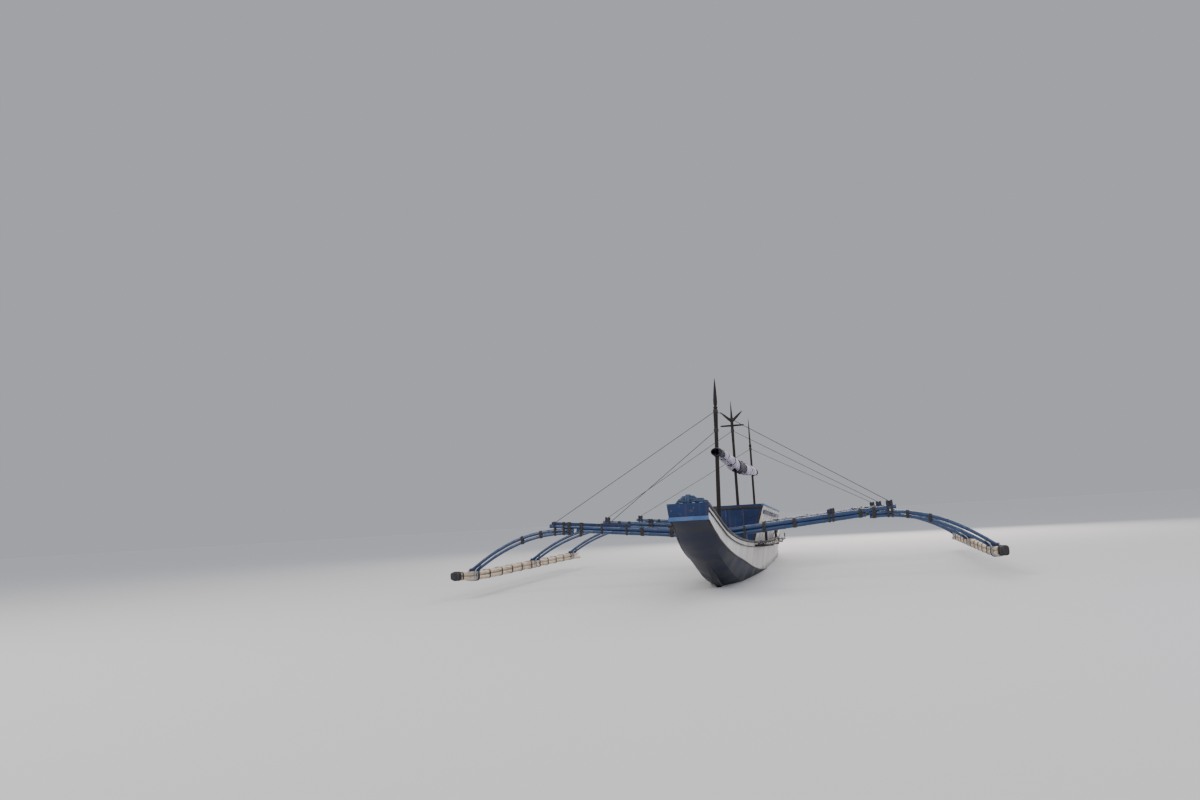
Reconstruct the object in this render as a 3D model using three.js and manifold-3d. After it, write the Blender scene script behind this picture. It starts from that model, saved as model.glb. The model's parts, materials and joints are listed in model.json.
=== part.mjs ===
// A double outrigger boat of painted planks and bamboo, afloat at rest.
// Millimetres, +Z up, bow towards -Y, port side +X. The origin lies on the centreline, amidships,
// at the waterline. A station is a distance aft of the bow's face.
import * as THREE from 'three';
import { mergeVertices } from 'three/addons/utils/BufferGeometryUtils.js';
import Module from 'manifold-3d';

const wasm = await Module();
wasm.setup();

// Driving dimensions
const LENGTH = 15800;
const BOW_Y = -LENGTH / 2;
const GAP = 0.3;
const HULL_PANELS = 32;
const PORT = 1;
const STARBOARD = -1;
const SIDES = [{ side: PORT, sideName: 'port' }, { side: STARBOARD, sideName: 'starboard' }];

// Hull lines. Beams are half widths. Chine: where the sides meet the bottom.
const HULL_LINES = [
  { station: 0, sheerBeam: 295, sheerHeight: 1470, chineBeam: 280, chineHeight: 1262, keelHeight: 1235 },
  { station: 400, sheerBeam: 320, sheerHeight: 1362, chineBeam: 298, chineHeight: 1120, keelHeight: 1070 },
  { station: 840, sheerBeam: 350, sheerHeight: 1230, chineBeam: 322, chineHeight: 960, keelHeight: 875 },
  { station: 1550, sheerBeam: 400, sheerHeight: 1030, chineBeam: 362, chineHeight: 770, keelHeight: 610 },
  { station: 2500, sheerBeam: 455, sheerHeight: 880, chineBeam: 405, chineHeight: 590, keelHeight: 290 },
  { station: 3700, sheerBeam: 510, sheerHeight: 775, chineBeam: 445, chineHeight: 430, keelHeight: -10 },
  { station: 5200, sheerBeam: 550, sheerHeight: 700, chineBeam: 475, chineHeight: 230, keelHeight: -200 },
  { station: 7200, sheerBeam: 575, sheerHeight: 630, chineBeam: 490, chineHeight: 60, keelHeight: -330 },
  { station: 9500, sheerBeam: 580, sheerHeight: 580, chineBeam: 490, chineHeight: -40, keelHeight: -400 },
  { station: 12000, sheerBeam: 565, sheerHeight: 560, chineBeam: 475, chineHeight: -50, keelHeight: -400 },
  { station: 14000, sheerBeam: 530, sheerHeight: 590, chineBeam: 440, chineHeight: 0, keelHeight: -340 },
  { station: LENGTH, sheerBeam: 470, sheerHeight: 680, chineBeam: 380, chineHeight: 90, keelHeight: -230 },
];
const KEEL_FLAT = 60;
const BILGE = { beamShare: 0.66, heightShare: 0.3 };
const KEEL = { start: 2400, end: 15090, halfWidth: 45, depth: 90, startDepth: 25, taper: 700 };
const PLANK = 26;
const GUNWALE = { inboard: 38, outboard: 30, height: 38 };

const BOW_FACE = { thickness: 40, below: 30, rise: GUNWALE.height };
const BOW_BAND = { thickness: 22, height: 62, overhang: 14, lift: 8 };
const BITT = {
  station: 330, postGap: 190, post: 62, height: 175, barLength: 330, bar: 55, barDrop: 45, sunk: 30,
};
const PEG = { station: 330, radius: 20, length: 75, belowSheer: 215 };
const TRANSOM_THICKNESS = 32;

const DECK = { drop: 35, thickness: 22, foreEnd: 7230, aftStart: 14190, sideInner: 335 };
const FLOOR = { start: 7240, end: 14180, top: 160, thickness: 25, bearer: 60, bearerCount: 6 };
const HOUSE = {
  front: 7200, rear: 14200, footBeam: 370, footHeight: 595, topBeam: 635, frontTop: 1440, rearTop: 1260,
  wall: 22, panel: 28, rearPanelTop: 950, frontRailLap: 6,
};
const HOUSE_FLARE = (HOUSE.topBeam - HOUSE.footBeam) / (HOUSE.frontTop - HOUSE.footHeight);
const HOUSE_RAIL = { width: 56, height: 42 };
const BATTEN = { proud: 15, sunk: 5, width: 45, share: 0.52, posts: 8, margin: 160 };
// Openings in the walls for the booms that pass through
const BOOM_PORT = { halfLength: 62, below: 70, above: 125, reach: 400 };

const THWARTS = [{ station: 9000 }, { station: 12100 }, { station: 13650 }];
const THWART = { width: 270, thickness: 28, top: 430 };
const ENGINE_BOX = { station: 10950, length: 1200, width: 620, height: 600, wall: 20, lid: 24, lidLap: 15 };
const ENGINE = { length: 900, width: 430, height: 470 };

// Cross booms: two poles stacked, rising outboard from the centreline on both sides.
const BOOM_RISE_ANGLE = THREE.MathUtils.degToRad(5.2);
const BOOM_RISE = Math.tan(BOOM_RISE_ANGLE);
const BOOM = {
  centreHeight: 940, upperRadius: 45, lowerRadius: 43, nest: 4, bend: 3230, lowerEnd: 2700, sides: 10,
  bearerLength: 58, bearerWidth: 110, bearerInset: 4, topWidth: 60, topSunk: 10,
};
// Pieces on top of a boom that carry the stays. The forward boom has a plank on its starboard side.
const BOOM_BLOCKS = [{ span: 2080, length: 130, height: 62 }, { span: 3120, length: 120, height: 66 }];
const BOOM_PLANK = [{ span: 2420, length: 1540, height: 30 }];
// footSpan: half distance between the two floats at that boom
const OUTRIGGERS = [
  { name: '1', station: 3660, footSpan: 4870 },
  { name: '2', station: 8300, footSpan: 5030 },
  { name: '3', station: 12470, footSpan: 5190 },
];
const ARM = {
  outerRadius: 33, innerRadius: 30, spread: 125, nest: 8, rootGap: 60, rootSink: 6, footAngle: 36,
  lead: 850, innerLead: 731, steps: 14, sides: 8, seatShare: 0.6, seatSink: 8,
  saddleLap: 90, saddleWidth: 84, saddleHeight: 52,
};
const FLOAT = {
  front: 2600, rear: 13350, poleRadius: 47, sides: 10, pitch: 84,
  frontHeight: 425, bodyHeight: 372, riseLength: 2600, kneeShare: 0.4,
};
const BUNDLE = [
  { across: -0.5, up: -0.5, frontTrim: 0, rearTrim: 120 },
  { across: 0.5, up: -0.5, frontTrim: 70, rearTrim: 0 },
  { across: -0.5, up: 0.5, frontTrim: 110, rearTrim: 260 },
  { across: 0.5, up: 0.5, frontTrim: 30, rearTrim: 180 },
];

const MASTS = [
  { name: '1', station: 3930, footRadius: 42, headRadius: 35, lean: 2.1, footOffset: 0 },
  { name: '2', station: 8120, footRadius: 37, headRadius: 29, lean: 0, footOffset: 0 },
  { name: '3', station: 13060, footRadius: 36, headRadius: 27, lean: 0, footOffset: 0 },
];
const MAST_TOP = 3900;
const MAST_SIDES = 12;
const MAST_DECK_CLEARANCE = 12;
const MAST_SHOULDER = 5;
const MAST_HEEL = { size: 170, height: 70, sunk: 30 };
// Each mast's turned head: radii at distances below its tip
const HEADS = {
  1: [
    { below: 640, radius: 44 }, { below: 618, radius: 46 }, { below: 606, radius: 30 },
    { below: 588, radius: 30 }, { below: 578, radius: 42 }, { below: 556, radius: 42 },
    { below: 546, radius: 29 }, { below: 528, radius: 29 }, { below: 505, radius: 36 },
    { below: 440, radius: 38 }, { below: 200, radius: 24 }, { below: 0, radius: 3 },
  ],
  2: [{ below: 500, radius: 34 }, { below: 440, radius: 30 }, { below: 0, radius: 3 }],
  3: [
    { below: 800, radius: 27 }, { below: 780, radius: 38 }, { below: 745, radius: 38 },
    { below: 725, radius: 24 }, { below: 300, radius: 17 }, { below: 0, radius: 3 },
  ],
};
// The middle mast's two spikes and its crossbar
const CROWN = {
  mast: '2', below: 485, spikeSpan: 255, spikeRise: 235, spikeRoot: 26, spikeTip: 4,
  barDrop: 95, barSpan: 270, barRoot: 17, barTip: 11, sides: 8,
};
// The rolled awning's sections. It is laced round the masts, which pass through it.
const ROLL_SECTIONS = [
  { station: 3770, middle: 58, halfWidth: 78, halfHeight: 55, height: 2485 },
  { station: 3860, middle: 62, halfWidth: 100, halfHeight: 74, height: 2483 },
  { station: 5000, middle: 52, halfWidth: 118, halfHeight: 78, height: 2475 },
  { station: 6300, middle: 30, halfWidth: 128, halfHeight: 90, height: 2450 },
  { station: 7400, middle: 10, halfWidth: 136, halfHeight: 118, height: 2412 },
  { station: 8500, middle: 0, halfWidth: 138, halfHeight: 130, height: 2392 },
  { station: 10600, middle: 8, halfWidth: 138, halfHeight: 130, height: 2386 },
  { station: 12300, middle: 26, halfWidth: 126, halfHeight: 112, height: 2408 },
  { station: 13280, middle: 34, halfWidth: 106, halfHeight: 96, height: 2400 },
  { station: 13400, middle: 34, halfWidth: 84, halfHeight: 74, height: 2398 },
];
const ROLL = { sides: 16, lowest: 2150, highest: 2700 };
const STAY_RADIUS = 6;
const STAY_SUNK = 10;
const STAYS = [
  { name: '1', mast: '1', height: 3270, span: 3120, sides: SIDES },
  { name: '1_low', mast: '1', height: 2900, span: 2080, sides: SIDES.slice(1) },
  { name: '2', mast: '2', height: 3200, span: 3120, sides: SIDES },
  { name: '3', mast: '3', height: 3050, span: 3120, sides: SIDES },
];

// Poles beside the gunwale
const GUARD = {
  start: 5000, end: 13700, radius: 20, sides: 8, steps: 14, nearOut: 95, farOut: 185, drop: 25,
  bracketWidth: 50, bracketHeight: 38, bracketSunk: 12,
  stub: 26, stubHeight: 150, stubInset: 20, stubSunk: 30,
};
const GUARD_BRACKETS = [
  { station: 5300 }, { station: 7400 }, { station: 9500 }, { station: 11500 }, { station: 13450 },
];

// Stern gear
const SHAFT = {
  tubeStart: 14300, tubeEnd: 15180, endHeight: -500, slope: 0.17, tubeRadius: 36,
  strutThickness: 30, strutLength: 120, strutHeight: 300, strutAhead: 90, strutUp: 140,
};
const PROPELLER = {
  radius: 190, hubRadius: 38, hubLength: 110, capLength: 12, blades: 3, pitchAngle: 38, running: 1,
};
const BLADE_THICKNESS = 9;
// One propeller blade's outline, from root to tip and back, as quadratic curves
const BLADE_START = { x: -34, y: 0 };
const BLADE_CURVES = [
  { controlX: -92, controlY: 90, x: -70, y: 140 },
  { controlX: -45, controlY: PROPELLER.radius, x: 0, y: PROPELLER.radius },
  { controlX: 60, controlY: PROPELLER.radius - 20, x: 62, y: 110 },
  { controlX: 60, controlY: 40, x: 34, y: 0 },
];
const RUDDER = {
  station: LENGTH + 100, stockRadius: 22, stockTop: 905, stockBottom: -600, thickness: 34,
  lugHeights: [185, 560], lugThickness: 36, lugWidth: 84, lugRim: 18, bore: 0.5, strap: 12, strapWidth: 90,
  strapLap: 45,
};
// The rudder blade's outline: distance aft of the stock's axis, and height
const RUDDER_OUTLINE = [
  { aft: -RUDDER.stockRadius, height: 95 }, { aft: 150, height: 135 }, { aft: 260, height: 65 },
  { aft: 340, height: -260 }, { aft: 320, height: -580 }, { aft: 250, height: -640 },
  { aft: -RUDDER.stockRadius, height: -640 },
];
const TILLER = { headSize: 80, headHeight: 60, reach: 900, rise: 60, rootRadius: 26, gripRadius: 18 };

const PAINT = {
  navy: 0x10182e, blue: 0x1c3f7a, bandBlue: 0x4c6c9c, white: 0xd9d4cf, dark: 0x1a1714, deck: 0x6d7076,
  bamboo: 0x35567f, floatBamboo: 0xb9a79c, wood: 0x6b5240, cloth: 0xcfcbd8, rope: 0x8f8a80, steel: 0x5c6066,
  bronze: 0x9a7a45, engine: 0x3c5a4c,
};

function material(colour, roughness = 0.6, metalness = 0) {
  return new THREE.MeshStandardMaterial({ color: colour, roughness, metalness });
}

// Solids

function bare(geometry) {
  const copy = geometry.clone();
  copy.deleteAttribute('normal');
  copy.deleteAttribute('uv');
  return mergeVertices(copy, 1e-3);
}

function volumeOf(geometry) {
  const position = geometry.attributes.position;
  const index = geometry.index;
  const [a, b, c] = [new THREE.Vector3(), new THREE.Vector3(), new THREE.Vector3()];
  let volume = 0;
  for (let i = 0; i < index.count; i += 3) {
    a.fromBufferAttribute(position, index.getX(i));
    b.fromBufferAttribute(position, index.getX(i + 1));
    c.fromBufferAttribute(position, index.getX(i + 2));
    volume += a.dot(b.cross(c)) / 6;
  }
  return volume;
}

function outward(geometry) {
  const merged = bare(geometry);
  if (volumeOf(merged) < 0) {
    const index = merged.index;
    for (let i = 0; i < index.count; i += 3) {
      const second = index.getX(i + 1);
      index.setX(i + 1, index.getX(i + 2));
      index.setX(i + 2, second);
    }
  }
  return merged;
}

function solid(geometry) {
  const merged = outward(geometry);
  return new wasm.Manifold(new wasm.Mesh({
    numProp: 3,
    vertProperties: Float32Array.from(merged.attributes.position.array),
    triVerts: Uint32Array.from(merged.index.array),
  }));
}

function geometryOf(manifold) {
  const mesh = manifold.getMesh();
  const geometry = new THREE.BufferGeometry();
  geometry.setAttribute('position', new THREE.BufferAttribute(Float32Array.from(mesh.vertProperties), 3));
  geometry.setIndex(new THREE.BufferAttribute(Uint32Array.from(mesh.triVerts), 1));
  return geometry;
}

function join(...geometries) {
  return geometryOf(geometries.map(solid).reduce((whole, next) => whole.add(next)));
}

function cut(geometry, ...tools) {
  return geometryOf(tools.map(solid).reduce((whole, tool) => whole.subtract(tool), solid(geometry)));
}

// A closed body through rings of equal point count. flatten gives each end's outline in its own plane.
function loft(rings, flatten = (point) => new THREE.Vector2(point.x, point.z)) {
  const count = rings[0].length;
  const position = rings.flat().flatMap((point) => [point.x, point.y, point.z]);
  const index = [];
  for (let ring = 0; ring + 1 < rings.length; ring += 1) {
    for (let i = 0; i < count; i += 1) {
      const a = ring * count + i;
      const b = ring * count + ((i + 1) % count);
      index.push(a, b, b + count, a, b + count, a + count);
    }
  }
  const last = (rings.length - 1) * count;
  const start = rings[0].map(flatten);
  const end = rings[rings.length - 1].map(flatten);
  const clockwise = THREE.ShapeUtils.isClockWise(start);
  for (const [i, j, k] of THREE.ShapeUtils.triangulateShape(start, [])) {
    index.push(...(clockwise ? [i, j, k] : [k, j, i]));
  }
  for (const [i, j, k] of THREE.ShapeUtils.triangulateShape(end, [])) {
    index.push(...(clockwise ? [k, j, i] : [i, j, k]).map((corner) => corner + last));
  }
  const geometry = new THREE.BufferGeometry();
  geometry.setAttribute('position', new THREE.Float32BufferAttribute(position, 3));
  geometry.setIndex(index);
  return geometry;
}

function box(sizeX, sizeY, sizeZ, x, y, z) {
  return new THREE.BoxGeometry(sizeX, sizeY, sizeZ).translate(x, y, z);
}

function pole(from, to, fromRadius, toRadius = fromRadius, sides = 10) {
  const axis = to.clone().sub(from);
  const geometry = new THREE.CylinderGeometry(toRadius, fromRadius, axis.length(), sides);
  const up = new THREE.Vector3(0, 1, 0);
  const turn = new THREE.Quaternion().setFromUnitVectors(up, axis.normalize());
  const middle = from.clone().lerp(to, 0.5);
  return geometry.applyQuaternion(turn).translate(middle.x, middle.y, middle.z);
}

function polygon(radius, sides) {
  const corners = Array.from({ length: sides }, (_, i) => {
    const angle = (2 * Math.PI * i) / sides;
    return new THREE.Vector2(radius * Math.cos(angle), radius * Math.sin(angle));
  });
  return new THREE.Shape(corners);
}

function tube(curve, radius, steps, sides = 10) {
  const shape = polygon(radius, sides);
  return new THREE.ExtrudeGeometry(shape, { extrudePath: curve, steps, bevelEnabled: false });
}

// A turned piece standing on the XY plane; the profile is a list of [radius, height].
function turned(profile, sides = 12) {
  const points = profile.map(([radius, height]) => new THREE.Vector2(radius, height));
  return new THREE.LatheGeometry(points, sides).rotateX(Math.PI / 2);
}

// The hull's form

function interpolant(Kind, rows) {
  const columns = ['sheerBeam', 'sheerHeight', 'chineBeam', 'chineHeight', 'keelHeight'];
  const stations = Float64Array.from(rows.map((row) => row.station));
  const values = Float64Array.from(rows.flatMap((row) => columns.map((column) => row[column])));
  const curve = new Kind(stations, values, columns.length);
  return (station) => {
    const result = curve.evaluate(station);
    return { station, ...Object.fromEntries(columns.map((column, i) => [column, result[i]])) };
  };
}

const smoothLines = interpolant(THREE.CubicInterpolant, HULL_LINES);
const FRAMES = Array.from({ length: HULL_PANELS + 1 }, (_, i) => smoothLines((i * LENGTH) / HULL_PANELS));
const hullAt = interpolant(THREE.LinearInterpolant, FRAMES);

// Frames between two stations, with both ends.
function framesBetween(start, end) {
  const inside = FRAMES.filter((frame) => frame.station > start + 1 && frame.station < end - 1);
  return [hullAt(start), ...inside, hullAt(end)];
}

function at(station, x, z) {
  return new THREE.Vector3(x, station + BOW_Y, z);
}

// A long piece whose section, a list of [x, z], is worked out at each frame.
function along(start, end, section) {
  const ring = (frame) => section(frame).map(([x, z]) => at(frame.station, x, z));
  return loft(framesBetween(start, end).map(ring));
}

// Half width of the hull's side at a height, on its outer face.
function sideBeam(frame, height) {
  const share = (height - frame.chineHeight) / (frame.sheerHeight - frame.chineHeight);
  return THREE.MathUtils.lerp(frame.chineBeam, frame.sheerBeam, share);
}

// Half width at the middle of the side planking. Decks reach it and are then trimmed to the planking.
function plankBeam(frame, height) {
  return sideBeam(frame, height) - PLANK / 2;
}

function deckTop(frame) {
  return frame.sheerHeight - DECK.drop;
}

function gunwaleTop(frame) {
  return frame.sheerHeight + GUNWALE.height + GAP;
}

// A block just under a sloping top, which trims the feet of what stands on it
function under(top, station, centre, reach = 400, halfWidth = 300, depth = 200) {
  return along(Math.max(0, station - reach), station + reach, (frame) => {
    const high = top(frame) + GAP;
    return [
      [centre - halfWidth, high - depth], [centre + halfWidth, high - depth],
      [centre + halfWidth, high], [centre - halfWidth, high],
    ];
  });
}

const boat = new THREE.Group();

function add(name, geometry, finish) {
  const mesh = new THREE.Mesh(outward(geometry), finish);
  mesh.name = name;
  boat.add(mesh);
  return mesh;
}

// Hull planking

function lowerHullSection(frame) {
  const { chineBeam, chineHeight, keelHeight } = frame;
  const bilgeBeam = chineBeam * BILGE.beamShare;
  const bilgeHeight = THREE.MathUtils.lerp(keelHeight, chineHeight, BILGE.heightShare);
  return [
    [-KEEL_FLAT, keelHeight], [KEEL_FLAT, keelHeight], [bilgeBeam, bilgeHeight], [chineBeam, chineHeight],
    [-chineBeam, chineHeight], [-bilgeBeam, bilgeHeight],
  ];
}

add('lower_hull', along(0, LENGTH, lowerHullSection), material(PAINT.navy, 0.5));

add('keel', along(KEEL.start, KEEL.end, (frame) => {
  const share = Math.min(1, (frame.station - KEEL.start) / KEEL.taper);
  const top = frame.keelHeight - GAP;
  const bottom = top - THREE.MathUtils.lerp(KEEL.startDepth, KEEL.depth, share);
  return [[-KEEL.halfWidth, bottom], [KEEL.halfWidth, bottom], [KEEL.halfWidth, top], [-KEEL.halfWidth, top]];
}), material(PAINT.navy, 0.6));

function topside(side, clearance) {
  return along(0, LENGTH, (frame) => [
    [side * (frame.chineBeam + clearance), frame.chineHeight + GAP],
    [side * (frame.sheerBeam + clearance), frame.sheerHeight],
    [side * (frame.sheerBeam - PLANK - clearance), frame.sheerHeight],
    [side * (frame.chineBeam - PLANK - clearance), frame.chineHeight + GAP],
  ]);
}

const sideKeepOuts = SIDES.map(({ side }) => topside(side, GAP));

for (const { side, sideName } of SIDES) {
  add(`topside_${sideName}`, topside(side, 0), material(PAINT.white, 0.45));

  add(`gunwale_${sideName}`, along(0, LENGTH, (frame) => {
    const outer = side * (frame.sheerBeam + GUNWALE.outboard);
    const inner = side * (frame.sheerBeam - GUNWALE.inboard);
    const bottom = frame.sheerHeight + GAP;
    const top = bottom + GUNWALE.height;
    return [[inner, bottom], [outer, bottom], [outer, top], [inner, top]];
  }), material(PAINT.dark, 0.5));
}

// Bow face, its band, bitt and peg

const bowFrame = hullAt(0);
const bowWidth = 2 * (bowFrame.sheerBeam + GUNWALE.outboard);
const bowBottom = bowFrame.keelHeight;
const bowTop = bowFrame.sheerHeight + BOW_FACE.rise;
const bowLowWidth = 2 * bowFrame.chineBeam + GUNWALE.outboard;
add('bow_face', loft([-GAP - BOW_FACE.thickness, -GAP].map((station) => [
  at(station, -bowLowWidth / 2, bowBottom), at(station, bowLowWidth / 2, bowBottom),
  at(station, bowWidth / 2, bowTop), at(station, -bowWidth / 2, bowTop),
])), material(PAINT.blue, 0.45));

const bandStation = -2 * GAP - BOW_FACE.thickness - BOW_BAND.thickness / 2;
add('bow_band', box(
  bowLowWidth + 2 * BOW_BAND.overhang, BOW_BAND.thickness, BOW_BAND.height,
  0, bandStation + BOW_Y, bowBottom + BOW_BAND.lift + BOW_BAND.height / 2,
), material(PAINT.bandBlue, 0.5));

// Decks and floor

function slab(start, end, top, thickness, section) {
  const whole = along(start, end, (frame) => section(frame, top(frame) - thickness, top(frame)));
  return cut(whole, ...sideKeepOuts);
}

const acrossDeck = (frame, low, high) => [
  [-plankBeam(frame, low), low], [plankBeam(frame, low), low],
  [plankBeam(frame, high), high], [-plankBeam(frame, high), high],
];

const foredeck = slab(0, DECK.foreEnd, deckTop, DECK.thickness, acrossDeck);
const aftDeck = slab(DECK.aftStart, LENGTH - GAP, deckTop, DECK.thickness, acrossDeck);
add('foredeck', foredeck, material(PAINT.deck, 0.8));
add('aft_deck', aftDeck, material(PAINT.deck, 0.8));
for (const { side, sideName } of SIDES) {
  const strip = (frame, low, high) => [
    [side * DECK.sideInner, low], [side * plankBeam(frame, low), low],
    [side * plankBeam(frame, high), high], [side * DECK.sideInner, high],
  ];
  add(
    `side_deck_${sideName}`,
    slab(DECK.foreEnd + GAP, DECK.aftStart - GAP, deckTop, DECK.thickness, strip),
    material(PAINT.deck, 0.8),
  );
}

const floorBearers = Array.from({ length: FLOOR.bearerCount }, (_, i) => {
  const share = (i + 0.5) / FLOOR.bearerCount;
  const station = THREE.MathUtils.lerp(FLOOR.start, FLOOR.end, share);
  return cut(along(station - FLOOR.bearer / 2, station + FLOOR.bearer / 2, (frame) => {
    const bottom = frame.chineHeight + 2 * GAP;
    const top = FLOOR.top - FLOOR.thickness / 2;
    return acrossDeck(frame, bottom, top);
  }), ...sideKeepOuts);
});
const floorPlanks = slab(FLOOR.start, FLOOR.end, () => FLOOR.top, FLOOR.thickness, acrossDeck);
add('floor', join(floorPlanks, ...floorBearers), material(PAINT.wood, 0.8));

add('transom', loft([LENGTH + GAP, LENGTH + GAP + TRANSOM_THICKNESS].map((station) => {
  const frame = hullAt(LENGTH);
  const top = frame.sheerHeight + GUNWALE.height;
  const section = lowerHullSection(frame);
  const low = section.slice(0, 4);
  const upper = [[frame.sheerBeam + 8, top], [-frame.sheerBeam - 8, top]];
  return [...low, ...upper, ...section.slice(4)].map(([x, z]) => at(station, x, z));
})), material(PAINT.navy, 0.5));

const bittFrame = hullAt(BITT.station);
const bittFoot = deckTop(bittFrame) + GAP;
const bittPosts = [-0.5, 0.5].map((share) => box(
  BITT.post, BITT.post, BITT.height, share * BITT.postGap, BITT.station + BOW_Y, bittFoot + BITT.height / 2,
));
const bittBar = box(
  BITT.barLength, BITT.bar, BITT.bar, 0, BITT.station + BOW_Y, bittFoot + BITT.height - BITT.barDrop,
);
const bittFeet = [-0.5, 0.5].map((share) => box(
  BITT.post, BITT.post, 2 * BITT.sunk, share * BITT.postGap, BITT.station + BOW_Y, bittFoot,
));
add(
  'bow_bitt',
  cut(join(...bittPosts, ...bittFeet, bittBar), under(deckTop, BITT.station, 0)),
  material(PAINT.bandBlue, 0.6),
);

// Deckhouse

function houseBeam(height) {
  return HOUSE.footBeam + HOUSE_FLARE * (height - HOUSE.footHeight);
}

function houseTop(station) {
  const share = (station - HOUSE.front) / (HOUSE.rear - HOUSE.front);
  return THREE.MathUtils.lerp(HOUSE.frontTop, HOUSE.rearTop, share);
}

function boomHeight(span) {
  return BOOM.centreHeight + BOOM_RISE * Math.abs(span);
}

function housePanel(start, end, foot, top) {
  return loft([start, end].map((station) => [
    at(station, -houseBeam(foot), foot), at(station, houseBeam(foot), foot),
    at(station, houseBeam(top), top), at(station, -houseBeam(top), top),
  ]));
}

const houseFrontFoot = deckTop(hullAt(HOUSE.front - HOUSE.panel)) + GAP;
const frontRailBottom = HOUSE.frontTop - HOUSE.frontRailLap;
const frontRailHeight = HOUSE_RAIL.height + HOUSE.frontRailLap;
const frontRailHalf = houseBeam(HOUSE.frontTop) - HOUSE.wall / 2 - HOUSE_RAIL.width / 2 - 2 * GAP;
const frontRail = box(
  2 * frontRailHalf, HOUSE.panel, frontRailHeight,
  0, HOUSE.front - GAP - HOUSE.panel / 2 + BOW_Y, frontRailBottom + frontRailHeight / 2,
);
const frontPanel = housePanel(HOUSE.front - HOUSE.panel, HOUSE.front - GAP, houseFrontFoot, HOUSE.frontTop);
add('deckhouse_front', join(frontPanel, frontRail), material(PAINT.blue, 0.45));
const houseRearFoot = deckTop(hullAt(HOUSE.rear + HOUSE.panel)) + GAP;
add(
  'deckhouse_rear',
  housePanel(HOUSE.rear + GAP, HOUSE.rear + HOUSE.panel, houseRearFoot, HOUSE.rearPanelTop),
  material(PAINT.blue, 0.45),
);

for (const { side, sideName } of SIDES) {
  const wall = along(HOUSE.front, HOUSE.rear, (frame) => {
    const foot = deckTop(frame) + GAP;
    const top = houseTop(frame.station);
    return [
      [side * houseBeam(foot), foot], [side * houseBeam(top), top],
      [side * (houseBeam(top) - HOUSE.wall), top], [side * (houseBeam(foot) - HOUSE.wall), foot],
    ];
  });
  const ports = OUTRIGGERS.slice(1).map(({ station }) => {
    const beam = houseBeam(BOOM.centreHeight);
    const low = boomHeight(beam) - BOOM_PORT.below - BOOM.lowerRadius;
    const high = boomHeight(beam) + BOOM_PORT.above;
    const middle = (low + high) / 2;
    return box(BOOM_PORT.reach, 2 * BOOM_PORT.halfLength, high - low, side * beam, station + BOW_Y, middle);
  });
  add(`deckhouse_rail_${sideName}`, along(HOUSE.front - HOUSE.panel, HOUSE.rear + HOUSE.panel, (frame) => {
    const bottom = houseTop(frame.station) + GAP;
    const centre = side * (houseBeam(bottom) - HOUSE.wall / 2);
    const top = bottom + HOUSE_RAIL.height;
    return [
      [centre - HOUSE_RAIL.width / 2, bottom], [centre + HOUSE_RAIL.width / 2, bottom],
      [centre + HOUSE_RAIL.width / 2, top], [centre - HOUSE_RAIL.width / 2, top],
    ];
  }), material(PAINT.bandBlue, 0.5));

  const strip = (start, end, low, high) => along(start, end, (frame) => {
    const from = low(frame);
    const to = high(frame);
    return [
      [side * (houseBeam(from) - BATTEN.sunk), from], [side * (houseBeam(from) + BATTEN.proud), from],
      [side * (houseBeam(to) + BATTEN.proud), to], [side * (houseBeam(to) - BATTEN.sunk), to],
    ];
  });
  const middle = (frame) => THREE.MathUtils.lerp(deckTop(frame), houseTop(frame.station), BATTEN.share);
  const longBatten = strip(
    HOUSE.front, HOUSE.rear,
    (frame) => middle(frame) - BATTEN.width / 2, (frame) => middle(frame) + BATTEN.width / 2,
  );
  const uprights = Array.from({ length: BATTEN.posts }, (_, i) => {
    const start = HOUSE.front + BATTEN.margin;
    const end = HOUSE.rear - BATTEN.margin;
    const station = THREE.MathUtils.lerp(start, end, i / (BATTEN.posts - 1));
    return strip(
      station - BATTEN.width / 2, station + BATTEN.width / 2,
      (frame) => deckTop(frame) + 2 * GAP, (frame) => houseTop(frame.station) - GAP,
    );
  });
  const battenedWall = join(wall, longBatten, ...uprights);
  add(`deckhouse_wall_${sideName}`, cut(battenedWall, ...ports), material(PAINT.white, 0.45));
}

// Thwarts, engine and its box

for (const [i, { station }] of THWARTS.entries()) {
  const seat = slab(
    station - THWART.width / 2, station + THWART.width / 2, () => THWART.top, THWART.thickness, acrossDeck,
  );
  add(`thwart_${i + 1}`, seat, material(PAINT.wood, 0.7));
}

const engineY = ENGINE_BOX.station + BOW_Y;
const engineFoot = FLOOR.top + GAP;
add('engine_block', box(
  ENGINE.width, ENGINE.length, ENGINE.height, 0, engineY, engineFoot + ENGINE.height / 2,
), material(PAINT.engine, 0.5, 0.3));
const boxTop = engineFoot + ENGINE_BOX.height;
const boxOuter = box(
  ENGINE_BOX.width, ENGINE_BOX.length, ENGINE_BOX.height, 0, engineY, engineFoot + ENGINE_BOX.height / 2,
);
const boxInner = box(
  ENGINE_BOX.width - 2 * ENGINE_BOX.wall, ENGINE_BOX.length - 2 * ENGINE_BOX.wall, 2 * ENGINE_BOX.height,
  0, engineY, engineFoot + ENGINE_BOX.height / 2,
);
add('engine_box', cut(boxOuter, boxInner), material(PAINT.white, 0.6));
const lidBottom = boxTop + GAP;
add('engine_box_lid', box(
  ENGINE_BOX.width + 2 * ENGINE_BOX.lidLap, ENGINE_BOX.length + 2 * ENGINE_BOX.lidLap, ENGINE_BOX.lid,
  0, engineY, lidBottom + ENGINE_BOX.lid / 2,
), material(PAINT.blue, 0.55));

// Booms, their arms and the floats

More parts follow.
